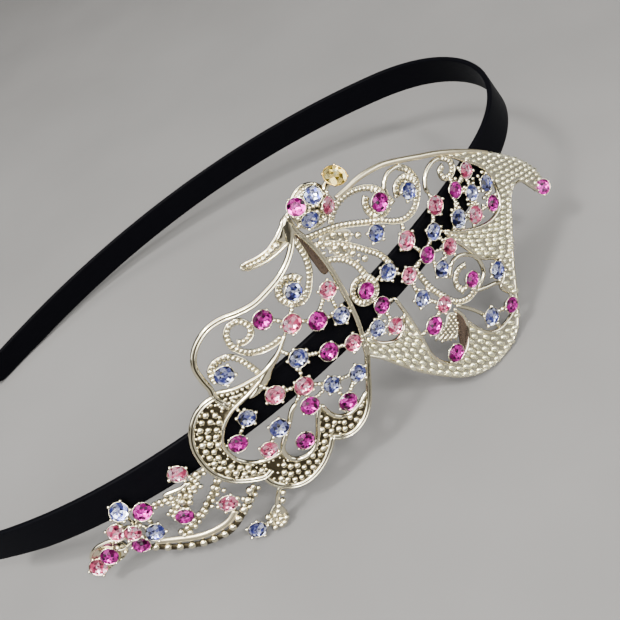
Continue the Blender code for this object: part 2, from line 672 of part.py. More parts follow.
def main():
    clear_scene()
    collection = bpy.data.collections.new("butterfly_headband")
    bpy.context.scene.collection.children.link(collection)
    finishes = {name: make_material(name) for name in FINISHES}
    pieces = []

    mesh = band_mesh()
    bend(mesh, band_place)
    pieces.append(add_piece("band", mesh, finishes["black_satin"], collection))

    for name, mesh in (("butterfly", butterfly_mesh()), ("flower_spray", spray_mesh())):
        bend(mesh, casting_place, CASTING_BACK)
        pieces.append(add_piece(name, mesh, finishes["plated_metal"], collection))

    named = [(f"hind_stone_{i:02d}", stone) for i, stone in enumerate(HIND_STONES, 1)]
    named += [(f"fore_stone_{i:02d}", stone) for i, stone in enumerate(FORE_STONES, 1)]
    named.append(("head_stone", TOPAZ_STONE))
    for name, stone in named:
        mesh = stone_mesh(stone, SEAT.high + STONE_GAP)
        bend(mesh, casting_place, CASTING_BACK)
        pieces.append(add_piece(name, mesh, finishes[stone.color], collection))

    stand_on_floor(pieces)


main()
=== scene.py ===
"""Butterfly headband: the looks of a satin-covered band with a pierced, stone-set butterfly.

Every piece is worked out flat, in a chart of the band in millimetres, and then carried onto the
arch. "along" runs along the band's middle line from the crown, positive down the butterfly's leg,
"across" runs over the band's width, positive upwards, and "height" stands out from the band.
"""

import math
from collections import namedtuple

import bpy
import numpy as np
from mathutils import Matrix, Vector


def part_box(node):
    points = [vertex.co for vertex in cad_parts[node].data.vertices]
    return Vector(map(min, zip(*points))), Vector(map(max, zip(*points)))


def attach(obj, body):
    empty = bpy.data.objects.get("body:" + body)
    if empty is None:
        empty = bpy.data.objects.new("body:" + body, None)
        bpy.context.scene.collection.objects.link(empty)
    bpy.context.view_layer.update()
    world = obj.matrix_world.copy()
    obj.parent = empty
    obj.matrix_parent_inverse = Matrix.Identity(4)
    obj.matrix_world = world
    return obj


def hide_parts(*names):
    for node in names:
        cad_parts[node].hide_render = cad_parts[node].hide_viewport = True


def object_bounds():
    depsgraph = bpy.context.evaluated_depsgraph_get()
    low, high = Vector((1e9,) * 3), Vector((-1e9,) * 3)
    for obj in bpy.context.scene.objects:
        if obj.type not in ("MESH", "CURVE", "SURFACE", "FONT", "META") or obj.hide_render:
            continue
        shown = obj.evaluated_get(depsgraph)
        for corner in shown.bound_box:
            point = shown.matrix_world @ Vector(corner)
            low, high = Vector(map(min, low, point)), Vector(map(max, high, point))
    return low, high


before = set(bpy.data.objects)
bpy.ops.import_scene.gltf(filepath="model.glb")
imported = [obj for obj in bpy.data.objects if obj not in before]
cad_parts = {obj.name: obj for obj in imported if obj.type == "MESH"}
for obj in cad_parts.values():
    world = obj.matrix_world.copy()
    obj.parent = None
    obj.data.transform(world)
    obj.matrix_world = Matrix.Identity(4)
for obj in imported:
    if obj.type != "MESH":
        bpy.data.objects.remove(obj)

bl_info = {
    "name": "Butterfly Headband",
    "version": (1, 0, 0),
    "blender": (4, 5, 0),
    "location": "View3D > Sidebar > Headband",
    "description": "Satin band with a plated butterfly, set with cut stones",
    "category": "Add Mesh",
}

CAD_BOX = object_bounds()
BODY = "root"
MM = 0.001

# Band: one crown arc and two side arcs; the strip leans in at its upper edge.
CROWN_RADIUS = 43.0
CROWN_ARC = CROWN_RADIUS * math.radians(55.0)
SIDE_RADIUS = 142.0
BAND_LEAN = math.radians(6.0)
BAND_WIDTH = 8.0
BAND_THICKNESS = 1.4
BAND_EDGE = 0.45
BAND_END = 202.5
# The solid strip's sections: how far apart, and the width's share just before each tip.
BAND_STEP, NEXT_SHARE = 5.0, 0.9
# The ribbon goes over the strip's upper edge, and runs on past the strip at both tips.
RIBBON_RISE, RIBBON_PAST = 0.8, 3.6
RIBBON_RINGS = 275
# Near the tips its lower edge is kept up off the floor: from where, over how long and how far.
LIFT_START, LIFT_LENGTH, LIFT = 185.0, 12.0, 0.5
# The tips narrow to a share of the width, over a length.
TIP_LENGTH = 7.0
TIP_SHARE = 0.62
# The casting's back, over the strip's middle line, and where and how it leaves the strip.
CASTING_BACK = 1.0
WING_STRAIGHTENS_AT = 48.0
WING_TIP_RADIUS = 75.0
# How the arch is turned, about x and after that y, to lie as it rests.
REST_TURN = (Matrix.Rotation(math.radians(-8.72), 3, "X")
             @ Matrix.Rotation(math.radians(-8.28), 3, "Y"))

# The camera, in the arch's own frame before it lies down: a target, and how it is looked at.
CAMERA_TARGET = (-73.128, -42.942, 0.0)
CAMERA_AZIMUTH, CAMERA_ELEVATION, CAMERA_ROLL = 4.153, 32.648, 39.429
CAMERA_DISTANCE = 192.262
CAMERA_LENS, CAMERA_SENSOR = 47.573, 36.0

# Stones: radii, and the heights of their girdles over the casting's back.
LARGE, SMALL, TOPAZ = 2.05, 1.85, 2.35
LOOSE_GIRDLE, CLOSE_GIRDLE = 1.6, 1.15
# Seats: the foot's height, the wall's thickness, and the post under a lifted one, with its
# painted shade.
SEAT_LOW, SEAT_WALL = 0.05, 0.3
STALK_RADIUS, STALK_LOW, STALK_SIDES = 1.0, 0.15, 14
STALK_WAIST, STALK_DARK = (1.1, 0.85, 0.85, 1.15), 0.3
# The prongs of each colour's seats: how many, their balls' radius, and how far outside the stone;
# how far above the girdle their middles are, and how tall they are for their width.
PRONGS = {"fuchsia": (3, 0.3, 0.12), "blue": (5, 0.44, 0.3), "rose": (4, 0.42, 0.28),
          "topaz": (4, 0.3, 0.1)}
PRONG_RISE, PRONG_TALL = 0.02, 1.15
# Rods: how far from a seat the next one or a wire may be, the rod, the balls on it, half of a
# wire, and from which gaps to a seat or a wire a rod carries balls.
SEAT_REACH, WIRE_REACH = 7.0, 5.2
BAR_RADIUS, BAR_MIDDLE = 0.36, 0.6
KNOB_PITCH, KNOB_MIDDLE, KNOB_SIZES = 0.86, 0.86, (0.46, 0.6)
WIRE_HALF, SEAT_GAP, WIRE_GAP = 0.6, 0.3, 0.4

# A stone's middle, radius and colour; lift raises it, and it faces tilt degrees off the band's
# outward direction, towards an angle counted from along to across.
Stone = namedtuple("Stone", "along across radius color lift tilt toward", defaults=(0, 0, 0))

HIND_STONES = (
    Stone(109.0, 16.2, LARGE, "fuchsia"),
    Stone(100.4, 16.2, SMALL, "blue"),
    Stone(122.6, 12.0, LARGE, "blue"),
    Stone(105.0, 11.0, LARGE, "rose"),
    Stone(94.7, 11.0, SMALL, "rose"),
    Stone(100.5, 7.4, LARGE, "fuchsia"),
    Stone(108.7, 3.8, LARGE, "blue"),
    Stone(95.9, 4.4, SMALL, "blue"),
    Stone(117.5, 0.7, LARGE, "rose"),
    Stone(125.2, 0.6, SMALL, "blue"),
    Stone(102.9, 0.0, LARGE, "fuchsia"),
    Stone(130.4, -3.2, LARGE, "fuchsia"),
    Stone(111.7, -2.2, LARGE, "rose"),
    Stone(97.7, -2.6, SMALL, "rose"),
    Stone(121.6, -6.4, LARGE, "blue"),
    Stone(113.5, -7.0, LARGE, "fuchsia"),
    Stone(107.0, -6.6, SMALL, "blue"),
    Stone(126.4, -9.2, SMALL, "rose"),
    Stone(101.2, -9.0, SMALL, "blue"),
    Stone(119.3, -13.2, LARGE, "fuchsia"),
    Stone(106.8, -12.8, LARGE, "fuchsia"),
)

FORE_STONES = (
    Stone(73.6, 16.3, LARGE, "fuchsia"),
    Stone(66.4, 12.6, SMALL, "blue"),
    Stone(78.6, 12.0, SMALL, "blue"),
    Stone(88.3, 4.2, SMALL, "fuchsia"),
    Stone(81.9, 3.5, SMALL, "blue"),
    Stone(74.0, 5.2, LARGE, "rose"),
    Stone(63.1, 5.1, LARGE, "rose"),
    Stone(78.5, -1.2, SMALL, "rose"),
    Stone(72.1, -1.3, SMALL, "fuchsia"),
    Stone(60.2, -2.0, LARGE, "blue"),
    Stone(79.4, -7.7, SMALL, "blue"),
    Stone(55.8, -5.2, LARGE, "rose"),
    Stone(81.1, -15.1, LARGE, "fuchsia"),
    Stone(66.7, -15.2, SMALL, "fuchsia"),
    Stone(59.8, -19.7, LARGE, "blue"),
    Stone(81.0, -24.8, LARGE, "fuchsia"),
    Stone(68.4, -26.3, LARGE, "blue"),
    Stone(62.3, -29.2, SMALL, "fuchsia"),
)

CLOSE_STONES = (
    Stone(67.2, 1.0, SMALL, "blue"),
    Stone(66.1, -4.9, SMALL, "rose"),
    Stone(71.1, -7.0, SMALL, "blue"),
    Stone(75.9, -13.6, SMALL, "rose"),
    Stone(56.1, 3.0, SMALL, "fuchsia"),
    Stone(50.3, 3.6, SMALL, "rose"),
    Stone(52.7, -1.2, SMALL, "blue"),
    Stone(47.6, -3.1, SMALL, "blue"),
    Stone(49.4, -7.9, SMALL, "fuchsia"),
    Stone(87.5, -1.4, SMALL, "fuchsia"),
    Stone(91.5, -4.6, SMALL, "blue"),
    Stone(88.0, -7.6, SMALL, "rose"),
    Stone(31.3, -20.6, SMALL, "fuchsia", 0.4, 30, 36),
    Stone(88.6, 29.3, SMALL, "fuchsia", 1.2, 25, 41),
    Stone(84.6, 28.5, SMALL, "blue", 1.2, 20, 80),
    Stone(88.0, 25.8, SMALL, "blue", 1.2, 25, -45),
    Stone(83.8, 25.2, SMALL, "rose", 1.2, 25, 218),
    Stone(141.1, -25.6, LARGE, "blue"),
)

TOPAZ_STONE = Stone(79.1, 27.8, TOPAZ, "topaz", 2.0, 43, 113)

FLOWER_STONES = (
    Stone(161.5, -1.8, LARGE, "blue", 0.9, 28, 122),
    Stone(157.4, -4.6, LARGE, "fuchsia", 0.9, 22, 146),
    Stone(158.8, -11.0, LARGE, "blue", 0.9, 12, 150),
    Stone(163.6, -12.2, LARGE, "fuchsia", 0.9, 0, 288),
    Stone(165.8, -6.3, LARGE, "rose", 0.9, 12, 110),
)
SPRAY_STONES = (
    Stone(161.9, -7.4, SMALL, "rose", 2.2, 8, 134),
    Stone(172.8, -12.0, LARGE, "fuchsia", 0.3, 15, 140),
    Stone(177.6, -13.8, LARGE, "rose", 0.3, 18, 142),
    Stone(151.1, -11.7, LARGE, "fuchsia"),
    Stone(145.1, -1.1, LARGE, "rose"),
    Stone(141.6, -14.9, LARGE, "rose"),
)

# Wires of the casting, as (along, across) places that a smooth line runs through.
HIND_LOBES = {
    "top_lobe": (
        (91.6, 29.2), (92.3, 26.6), (94.0, 24.2), (97.0, 22.0), (100.5, 20.6), (104.3, 20.0),
        (108.2, 19.8), (112.0, 20.7), (115.2, 21.9), (118.4, 22.3), (121.6, 21.5), (124.4, 19.7),
        (126.2, 17.2), (126.8, 13.8), (126.9, 11.0), (127.4, 9.0), (126.6, 5.2),
    ),
    "side_lobe": (
        (127.4, 9.0), (130.4, 9.0), (133.2, 8.0), (136.2, 5.5), (138.4, 1.9), (139.3, -2.2),
        (139.2, -6.2), (137.6, -10.1), (134.7, -12.9), (131.4, -14.8), (129.2, -14.4),
    ),
    "low_lobe": (
        (131.4, -14.8), (131.1, -17.4), (129.5, -20.1), (127.1, -22.0), (124.0, -22.6),
        (120.2, -21.7), (116.9, -19.8), (114.4, -17.6),
    ),
    "inner_lobe": (
        (114.4, -17.6), (112.7, -19.3), (110.0, -20.2), (106.8, -19.6), (104.0, -17.7),
        (101.6, -14.6), (99.2, -11.0), (97.0, -7.9), (95.6, -5.4),
    ),
}
HIND_CELLS = {
    "centre": (
        (97.0, -7.9), (95.2, -3.4), (93.6, 1.0), (92.2, 7.4), (91.2, 13.8), (91.0, 19.2),
        (91.3, 22.7), (91.8, 25.7), (91.5, 29.2),
    ),
    "side_cell": (
        (117.6, 5.4), (120.8, 4.6), (124.0, 4.2), (127.2, 3.6), (130.4, 1.8), (132.8, -1.0),
        (133.6, -3.8), (133.2, -7.0), (131.2, -9.8), (128.2, -11.6), (125.2, -12.2),
    ),
    "low_cell": (
        (115.4, -4.6), (117.2, -5.4), (119.4, -7.4), (121.8, -9.4), (124.0, -11.3), (124.7, -13.6),
        (123.9, -15.9), (121.5, -17.1), (118.8, -16.6), (116.4, -14.5), (114.2, -11.4),
        (112.0, -9.0),
    ),
    "inner_cell": (
        (111.6, -9.2), (111.4, -12.5), (110.2, -14.8), (107.9, -15.9), (105.0, -15.6),
        (102.2, -14.6),
    ),
    "bridge": (
        (126.6, 9.6), (123.2, 7.7), (120.0, 6.8), (116.8, 6.4), (113.6, 6.8), (110.6, 7.9),
        (107.6, 9.8),
    ),
}
# How much wider than the others these cells' wires are.
CELL_SHARE = {"low_cell": 1.3, "inner_cell": 1.15}
# How much of the groove's painted shade and antique finish is kept on the middle wire, and on the
# spray's smooth stem.
MIDDLE_SHADE_SHARE, STEM_SHADE_SHARE = 0.55, 0.7
# How much narrower than the others a ring's beaded wire is.
RING_SHARE = 0.9
FORE_EDGE = (
    (33.4, -19.8), (35.0, -16.6), (36.8, -12.9), (40.4, -11.2), (44.0, -12.4), (47.3, -15.6),
    (50.7, -19.0), (54.0, -22.8), (56.9, -26.7), (59.5, -30.3), (62.0, -33.4), (64.3, -35.5),
    (67.4, -36.8), (71.2, -37.0), (75.4, -36.2), (79.1, -34.5), (82.8, -31.4), (86.2, -27.0),
    (89.4, -22.1), (92.2, -16.7), (94.5, -11.8), (97.0, -7.9),
)
FORE_CELLS = {
    "tip_cell": (
        (64.7, -1.3), (62.2, -4.1), (58.9, -6.9), (55.2, -9.3), (51.7, -10.6), (48.0, -10.3),
        (45.6, -7.2), (44.8, -3.6), (45.4, -0.2), (47.2, 3.0), (49.4, 6.2), (51.6, 9.6),
    ),
    "low_cell": (
        (64.9, -1.6), (63.6, -6.0), (62.2, -10.4), (60.8, -14.4), (58.2, -17.2), (56.9, -19.9),
        (58.4, -22.6), (61.2, -24.0), (60.2, -27.4),
    ),
    "leaf_cell": (
        (84.1, -2.6), (84.4, -9.7), (85.0, -15.2), (85.6, -20.8), (84.0, -25.2), (81.0, -27.4),
        (77.4, -26.5), (74.8, -23.6), (73.9, -20.2), (74.6, -16.6),
    ),
    "foot_cell": (
        (73.9, -21.6), (72.9, -25.4), (71.3, -28.8), (68.6, -31.0), (65.2, -31.6), (62.0, -31.4),
    ),
    "heart_cell": ((94.6, -4.6), (93.0, -8.0), (90.0, -10.4), (86.8, -9.9), (84.6, -7.2)),
    "foot_vein": ((73.6, -16.6), (71.2, -20.6), (69.6, -24.2), (68.6, -28.0), (67.6, -31.2)),
}
TOP_EDGE = (
    (82.4, 24.9), (79.0, 24.9), (75.4, 24.2), (71.1, 22.9), (67.2, 21.2), (63.6, 18.9),
    (59.2, 16.0), (54.2, 12.5), (49.4, 8.6), (44.8, 4.5), (40.6, 0.2), (36.4, -4.6), (33.4, -8.6),
    (30.8, -12.8), (29.4, -16.4), (29.2, -19.2),
)
BEADED_SCROLLS = {
    "neck_scroll": (
        (93.2, 24.0), (93.4, 21.8), (93.6, 20.1), (94.2, 18.3), (95.2, 16.4), (96.6, 14.8),
        (98.4, 13.3), (100.4, 12.9), (102.2, 14.0), (103.2, 16.0), (103.0, 17.9), (101.6, 19.2),
        (99.8, 19.2), (98.2, 18.2), (97.5, 16.6),
    ),
    "middle_scroll": (
        (116.2, 15.6), (115.2, 14.8), (113.8, 14.7), (112.6, 15.3), (112.0, 16.9), (112.9, 19.0),
        (114.9, 19.7), (116.5, 18.8), (117.3, 17.2), (117.4, 15.5), (116.8, 13.6), (115.4, 11.8),
        (112.9, 10.4), (110.2, 9.8), (108.4, 9.9),
    ),
    "side_scroll": (
        (125.1, 11.8), (124.5, 14.0), (122.9, 15.1), (121.0, 15.0), (119.4, 14.2), (118.2, 12.4),
        (117.5, 9.9), (117.0, 7.0),
    ),
    "crest_scroll": (
        (85.0, 20.9), (84.0, 21.7), (81.6, 22.8), (78.9, 23.0), (76.2, 22.2), (73.9, 20.8),
        (72.2, 19.0), (71.3, 17.0), (71.1, 15.0), (70.8, 13.2),
    ),
    "crest_ring": (
        (74.9, 19.4), (76.0, 18.5), (76.6, 16.9), (76.3, 15.2), (75.2, 13.9), (73.7, 13.3),
        (72.1, 13.6),
    ),
    "long_scroll": (
        (64.6, 18.2), (62.9, 15.6), (62.8, 12.6), (64.6, 10.0), (67.6, 8.4), (70.8, 8.6),
        (73.4, 10.4), (75.8, 13.0), (78.9, 15.4), (81.9, 17.8), (85.2, 20.0), (91.2, 22.6),
    ),
    "ring": ((69.2, 13.4), (67.8, 15.4), (65.2, 15.6), (63.6, 14.2), (62.9, 12.4)),
    "outer_vein": ((91.2, 16.0), (89.2, 14.6), (87.4, 12.6), (86.2, 9.6), (86.0, 5.8)),
    "inner_vein": (
        (90.6, 20.0), (87.6, 17.7), (84.8, 14.4), (82.4, 10.6), (80.6, 7.4), (80.0, 3.6),
    ),
    "upper_curl": (
        (53.8, 10.9), (52.3, 8.7), (52.9, 6.7), (54.7, 6.2), (56.5, 7.3), (56.1, 9.1), (54.6, 9.2),
    ),
    "lower_curl": ((65.3, -11.7), (67.5, -11.0), (69.4, -11.7), (70.4, -13.5), (69.8, -15.9)),
    "lower_vein": (
        (76.2, -1.6), (75.9, -8.0), (74.6, -12.4), (73.0, -16.0), (70.2, -18.1), (66.8, -18.4),
    ),
}
# Scrolls without beads.
PLAIN_SCROLLS = {
    "long_scroll_start": ((71.0, 15.2), (70.2, 17.6), (67.6, 19.0), (64.6, 18.2), (63.4, 16.6)),
    "upper_curl_start": (
        (62.1, 7.8), (62.1, 9.2), (60.9, 10.8), (58.9, 11.9), (56.4, 12.0), (53.8, 10.9),
    ),
    "lower_ring": (
        (70.8, -10.6), (68.9, -8.8), (66.6, -8.3), (64.1, -9.7), (62.1, -12.6), (62.0, -15.4),
        (63.2, -17.7), (66.4, -18.6),
    ),
    "lower_arc": ((67.6, -18.4), (64.4, -20.5), (61.4, -22.4), (60.2, -25.1), (60.3, -27.4)),
}
# Stones with a beaded ring of their own: along, across and the ring's radius.
RINGED_STONES = ((88.3, 4.2, 2.95),)
# The beads grow long toward these stones, which the scrolls curl round.
CURLED_STONES = (
    (100.4, 16.2), (122.6, 12.0), (88.3, 4.2), (73.6, 16.3), (66.4, 12.6), (66.7, -15.2),
)
# The fore wing's smooth upper strip, which thins out before the tail.
TOP_STRIP = (
    (80.6, 24.2), (77.5, 23.8), (74.9, 23.6), (72.7, 23.2), (70.0, 22.4), (67.3, 21.3),
    (64.0, 19.3), (59.2, 16.0), (54.2, 12.5), (49.4, 8.6), (44.8, 4.5), (41.2, 0.8),
)
STALK = ((130.4, -19.2), (132.2, -21.0), (134.2, -23.4), (136.4, -25.4), (139.0, -26.0))

# Plates of the casting, as closed outlines.
HIND_BORDER = (
    (116.8, 6.2), (120.0, 6.8), (123.2, 7.8), (127.0, 9.2), *HIND_LOBES["side_lobe"][1:-1],
    *HIND_LOBES["low_lobe"][1:], *HIND_LOBES["inner_lobe"][1:5], (101.8, -14.9), (105.0, -15.4),
    (107.9, -15.8), (110.2, -14.7), (111.5, -12.5), (112.4, -9.6), (114.2, -11.5), (116.4, -14.6),
    (118.8, -16.7), (121.5, -17.1), (123.9, -15.8), (124.7, -13.6), (125.2, -12.2), (128.2, -11.5),
    (131.2, -9.8), (133.2, -7.0), (133.6, -3.8), (132.8, -1.0), (130.4, 1.8), (127.2, 3.6),
    (124.0, 4.3), (120.8, 4.7),
)
FORE_FIELD = (
    (50.8, 9.6), (44.8, 4.6), (40.6, 0.3), (36.4, -4.5), (33.4, -8.5), (30.8, -12.7),
    (29.4, -16.4), (29.4, -19.2), *FORE_EDGE[:-1], (96.2, -7.4), (94.6, -4.8), (93.0, -8.0),
    (90.0, -10.4), (86.8, -9.9), (84.7, -8.0), (84.5, -10.6), *FORE_CELLS["leaf_cell"][2:8],
    (73.9, -21.2), *FORE_CELLS["foot_cell"][1:5], (62.0, -31.2), (60.3, -27.2), (61.2, -24.1),
    (58.4, -22.4), (57.1, -19.9), (58.4, -17.3), (60.8, -14.4), (62.2, -10.4), (63.6, -6.0),
    (64.6, -2.0), *FORE_CELLS["tip_cell"][1:11],
)
ANTENNA_LEAF = (
    (92.4, 29.3), (94.0, 28.3), (95.9, 27.5), (97.1, 27.2), (98.8, 26.8), (100.6, 26.9),
    (102.4, 27.3), (104.0, 27.8), (105.2, 28.0), (105.4, 27.2), (103.8, 26.1), (101.0, 25.1),
    (99.0, 24.8), (97.0, 24.7), (95.3, 24.7), (94.4, 24.8), (92.6, 26.8),
)
NECK = (
    (91.6, 29.5), (91.4, 27.9), (91.8, 25.7), (93.3, 24.3), (94.8, 23.7), (94.9, 24.7),
    (94.0, 26.9), (93.3, 28.5),
)
# The smooth root of the leaf beside the head.
LEAF_ROOT = (
    (92.0, 29.4), (93.7, 28.6), (95.6, 27.5), (96.4, 26.9), (95.8, 25.8), (94.9, 25.0),
    (93.8, 26.4), (92.6, 28.2),
)
BRIDGE_WEB = (
    (109.5, 8.0), (112.1, 6.4), (114.6, 5.2), (116.2, 3.9), (118.2, 3.1), (120.4, 2.9),
    (122.2, 3.5), (119.7, 4.6), (116.9, 6.1), (113.2, 7.4),
)
PETAL = (
    (74.4, -17.4), (73.9, -19.8), (74.7, -22.9), (76.4, -25.2), (79.0, -26.9), (81.2, -27.3),
    (78.6, -25.0), (77.2, -22.5), (75.8, -19.9),
)
PETAL_GRAINS = (
    (76.2, -16.6), (74.8, -18.2), (75.6, -20.3), (77.9, -22.4), (79.3, -21.9), (81.6, -20.2),
    (81.9, -18.4), (78.9, -18.0),
)
PETAL_TICKS = ((82.3, -18.2), (81.4, -19.3), (80.5, -20.3), (79.5, -21.3), (78.4, -22.3))
VEIN_FILL = (
    (87.8, 20.6), (82.8, 17.2), (83.2, 15.2), (84.7, 14.7), (86.2, 12.0), (88.4, 15.0),
    (88.9, 18.6),
)
STALK_LEAF = (
    (133.6, -23.0), (136.4, -24.0), (138.6, -26.4), (138.0, -28.4), (135.4, -29.1), (133.6, -27.4),
)
BLADE = (
    (92.3, 25.2), (91.6, 23.1), (91.2, 20.2), (91.0, 17.3), (91.0, 14.4), (92.2, 13.4),
    (93.1, 14.0), (93.1, 16.8), (92.9, 20.0), (92.7, 22.7),
)
SPRAY_LEAF = (
    (167.9, -9.4), (169.7, -8.2), (172.6, -8.1), (175.2, -8.9), (177.4, -10.7), (178.9, -13.2),
    (176.8, -15.6), (173.2, -14.7), (169.7, -13.9), (167.6, -12.2),
)

# Stems of the spray.
BALLED_STEM = (
    (164.6, -14.2), (161.2, -16.6), (158.9, -18.3), (156.4, -19.7), (154.0, -20.9), (151.8, -21.6),
    (149.2, -22.0), (146.7, -22.2), (144.4, -21.6), (141.9, -20.3), (139.0, -18.7), (137.0, -17.2),
    (135.6, -15.6),
)
SMOOTH_STEM = (
    (161.2, -14.2), (157.4, -16.3), (154.0, -18.1), (150.8, -19.3), (147.2, -19.7), (144.2, -19.3),
    (141.8, -18.0),
)
GRAINED_STEMS = {
    "middle": (
        (139.9, -8.6), (142.2, -10.6), (144.0, -11.7), (146.4, -13.0), (149.3, -14.2),
        (151.9, -15.4), (154.6, -15.6),
    ),
    "upper": (
        (140.7, -4.4), (142.8, -4.3), (144.5, -5.5), (146.8, -6.3), (149.0, -7.2), (151.2, -8.4),
        (153.5, -9.9),
    ),
    "second": ((143.6, -6.6), (145.7, -7.0), (147.8, -8.1), (149.7, -10.0)),
    "branch": ((149.2, -7.0), (150.5, -6.4), (152.2, -5.7), (154.6, -5.2)),
    "root": ((134.6, -15.6), (136.4, -16.9), (138.4, -18.1), (140.6, -19.2)),
}
CRESCENT = ((151.4, -4.2), (149.6, -4.6), (147.1, -5.0), (144.8, -4.6))
LEAF_STEMS = {
    "leaf_edge": ((166.0, -9.4), (169.6, -8.3), (172.6, -8.1), (175.2, -8.9), (177.6, -10.8)),
    "leaf_stalk": ((164.6, -11.0), (168.4, -12.0), (170.4, -11.4)),
}

# Loose granules, as (along, across) or (along, across, height).
HEAD_MIDDLE = (86.0, 27.0)
VEIN_BALLS = (
    (86.1, 18.9), (83.9, 16.6), (81.9, 14.6), (85.8, 14.7), (85.3, 12.6), (83.9, 9.6),
    (87.6, 16.4), (89.4, 19.6),
)
VEIN_SEEDS = (
    (87.8, 15.2), (87.5, 14.2), (87.6, 19.2), (88.4, 18.2), (90.5, 19.6), (89.6, 18.4),
    (84.9, 17.9), (82.9, 15.8), (84.6, 15.6), (86.9, 17.6), (85.6, 16.9), (84.7, 13.7),
    (84.5, 11.2), (88.9, 16.6), (86.6, 13.4), (85.4, 10.4), (90.2, 17.4), (88.6, 20.6),
)
LEAF_BALLS = (
    (97.0, 26.1), (98.4, 26.1), (99.6, 26.0), (100.7, 26.0), (101.7, 26.2), (102.6, 26.5),
    (103.4, 26.8), (104.1, 27.1),
)
STALK_BALLS = (
    (130.9, -21.2), (132.2, -22.9), (133.8, -23.6), (134.7, -24.6), (135.4, -26.8), (135.4, -28.2),
    (136.6, -27.4), (136.3, -28.4), (134.3, -27.4), (135.9, -25.2), (137.4, -24.4), (137.8, -28.0),
    (137.6, -26.0),
)
TIP_BALLS = (
    (54.7, 6.5), (54.1, 4.6), (52.9, 2.9), (51.7, 0.9), (49.9, 0.6), (46.5, -0.6), (53.6, 0.2),
    (50.4, -5.1), (49.2, -5.2), (51.9, -6.1), (57.6, 0.2), (59.9, 0.4), (55.2, -2.4), (53.9, -3.8),
    (58.2, -4.3), (47.3, -5.5), (47.0, -7.4), (48.2, -0.2), (51.6, 5.6), (53.4, 1.2),
)
SPRAY_BALLS = (
    (140.2, -11.4, 1.0), (141.1, -9.9, 1.0), (143.9, -14.3, 1.0), (138.4, -16.2, 1.0),
    (139.3, -15.2, 1.0), (168.4, -12.6, 1.3), (169.2, -10.6, 1.3), (159.6, -6.8, 2.5),
    (161.4, -9.8, 2.5), (164.2, -8.4, 2.5), (163.2, -4.6, 2.5),
)
HEAD_BALLS = (
    (86.2, 27.3, 2.75), (86.4, 30.6, 2.2), (81.9, 27.1, 2.2), (85.8, 23.9, 2.2), (90.1, 27.5, 2.2),
    (85.0, 27.0, 2.6), (87.0, 27.6, 2.6), (86.4, 25.9, 2.6),
)
TOPAZ_ARM = ((84.4, 26.6), (81.4, 27.6), (78.1, 28.2))
# Seeds are thrown over the border so often, this far from its edge and from one another.
SEED_COUNT, SEED_MARGIN, SEED_APART = 2100, 0.5, 0.8
# The border's granules: how far they are shifted by chance, as a share of the radius, and their
# least and greatest size; then how much further up the painted shade and antique finish reach on
# them.
GRANULE_SHIFT, GRANULE_SIZES = 0.09, (0.88, 1.06)
BORDER_DARKER = 0.22
# How far apart the petal's grains are, along which spans, and where a tick's three axes go.
PETAL_PITCH, PETAL_ALONG, PETAL_ACROSS = 0.95, (74, 83), (-23, -16)
TICK_AXES, TICK_SIZE = ((0.35, 0.35, 0), (-0.75, 0.75, 0), (0, 0, 0.35)), 0.8
# The head's dome: its radii along and across.
HEAD_RADII = (4.7, 4.3)
# The spray's row of balls: how far apart, how far beside its stem, and a ball's three radii.
DROP_STEP, DROP_SIDE, DROP_RADII = 2.7, -0.5, (0.92, 1.0, 0.86)
# Grains sit in pairs along the spray's stems: how far apart, how far aside, how far by chance,
# and their least and greatest radius.
GRAIN_STEP, GRAIN_SIDE, GRAIN_CHANCE, GRAIN_RADII = 1.62, 0.62, 0.14, (0.52, 0.8)
# How dark the spray's balled stem and its grained ones are painted, as shade under their balls.
BALLED_DARK, GRAINED_DARK = 0.92, 0.66

# Curves: parts between two given places, and the fewest steps of a path.
CURVE_PARTS, LEAST_STEPS = 24, 4
# How far up the painted shade and antique finish reach, as a share of the half height: wires,
# balls and pellets; and how dark a groove's bottom is painted.
WIRE_DARK, BALL_DARK, PELLET_DARK, GROOVE_DARK = 0.56, 0.52, 0.46, 1.1
# A wire narrows over this many steps at each end, and a pellet's width stays full by this power.
WIRE_TIP_STEPS, PELLET_FULLNESS = 2.0, 0.55
# A scroll wire's strip and its edge: heights, half widths, and how dark the strip is painted, as
# shade under its pellets.
SCROLL_MIDDLE, SCROLL_HALF_HEIGHT = 0.68, 0.36
STRIP_SHARE, STRIP_DROP, STRIP_DARK = 0.9, 0.2, 0.62
EDGE_HALF, EDGE_INSET, EDGE_RISE = 0.19, 0.2, 0.02
# Its pellets: height, length as a share of the pitch, and places; and by how much they grow near
# a stone, from how far off.
SCROLL_PELLET_HEIGHT, SCROLL_PELLET_LONG = 0.46, 0.48
SCROLL_PELLET_INSET, SCROLL_PELLET_INWARD, SCROLL_PELLET_RISE = 0.06, 0.12, 0.04
SWELL, SWELL_FROM, SWELL_OVER = 0.34, 4.0, 0.6
# The hammered rows, in degrees: the angle at one place along, its change for each millimetre,
# its least and most, and how much less it is above a height across.
ROW_AT, ROW_ANGLE, ROW_CHANGE, ROW_LEAST, ROW_MOST = 50, 35, 1.1, 27, 75
ROW_LESS, ROW_LESS_ABOVE = 8, -2
# Where the rows run: from and to, their steps and where they are counted from; their first and
# last shift across, the slope that their spacing is measured on, and the lowest and highest place.
ROW_START, ROW_END, ROW_STEP, ROW_ORIGIN = 27.0, 99.0, 0.25, 45.0
ROW_SHIFTS, ROW_SLOPE, FIELD_LOW, FIELD_HIGH = (-190.0, 40.0), 33, -39, 18
# A pellet's half length and half width, as shares of the pitch and the spacing, and its height;
# then how far it is turned and shifted by chance, and its least and greatest length and width.
PELLET_LONG, PELLET_WIDE, PELLET_TALL = 0.48, 0.44, 0.52
PELLET_TURN, PELLET_SHIFT, PELLET_LENGTHS, PELLET_WIDTHS = 0.08, 0.07, (0.86, 1.1), (0.9, 1.08)
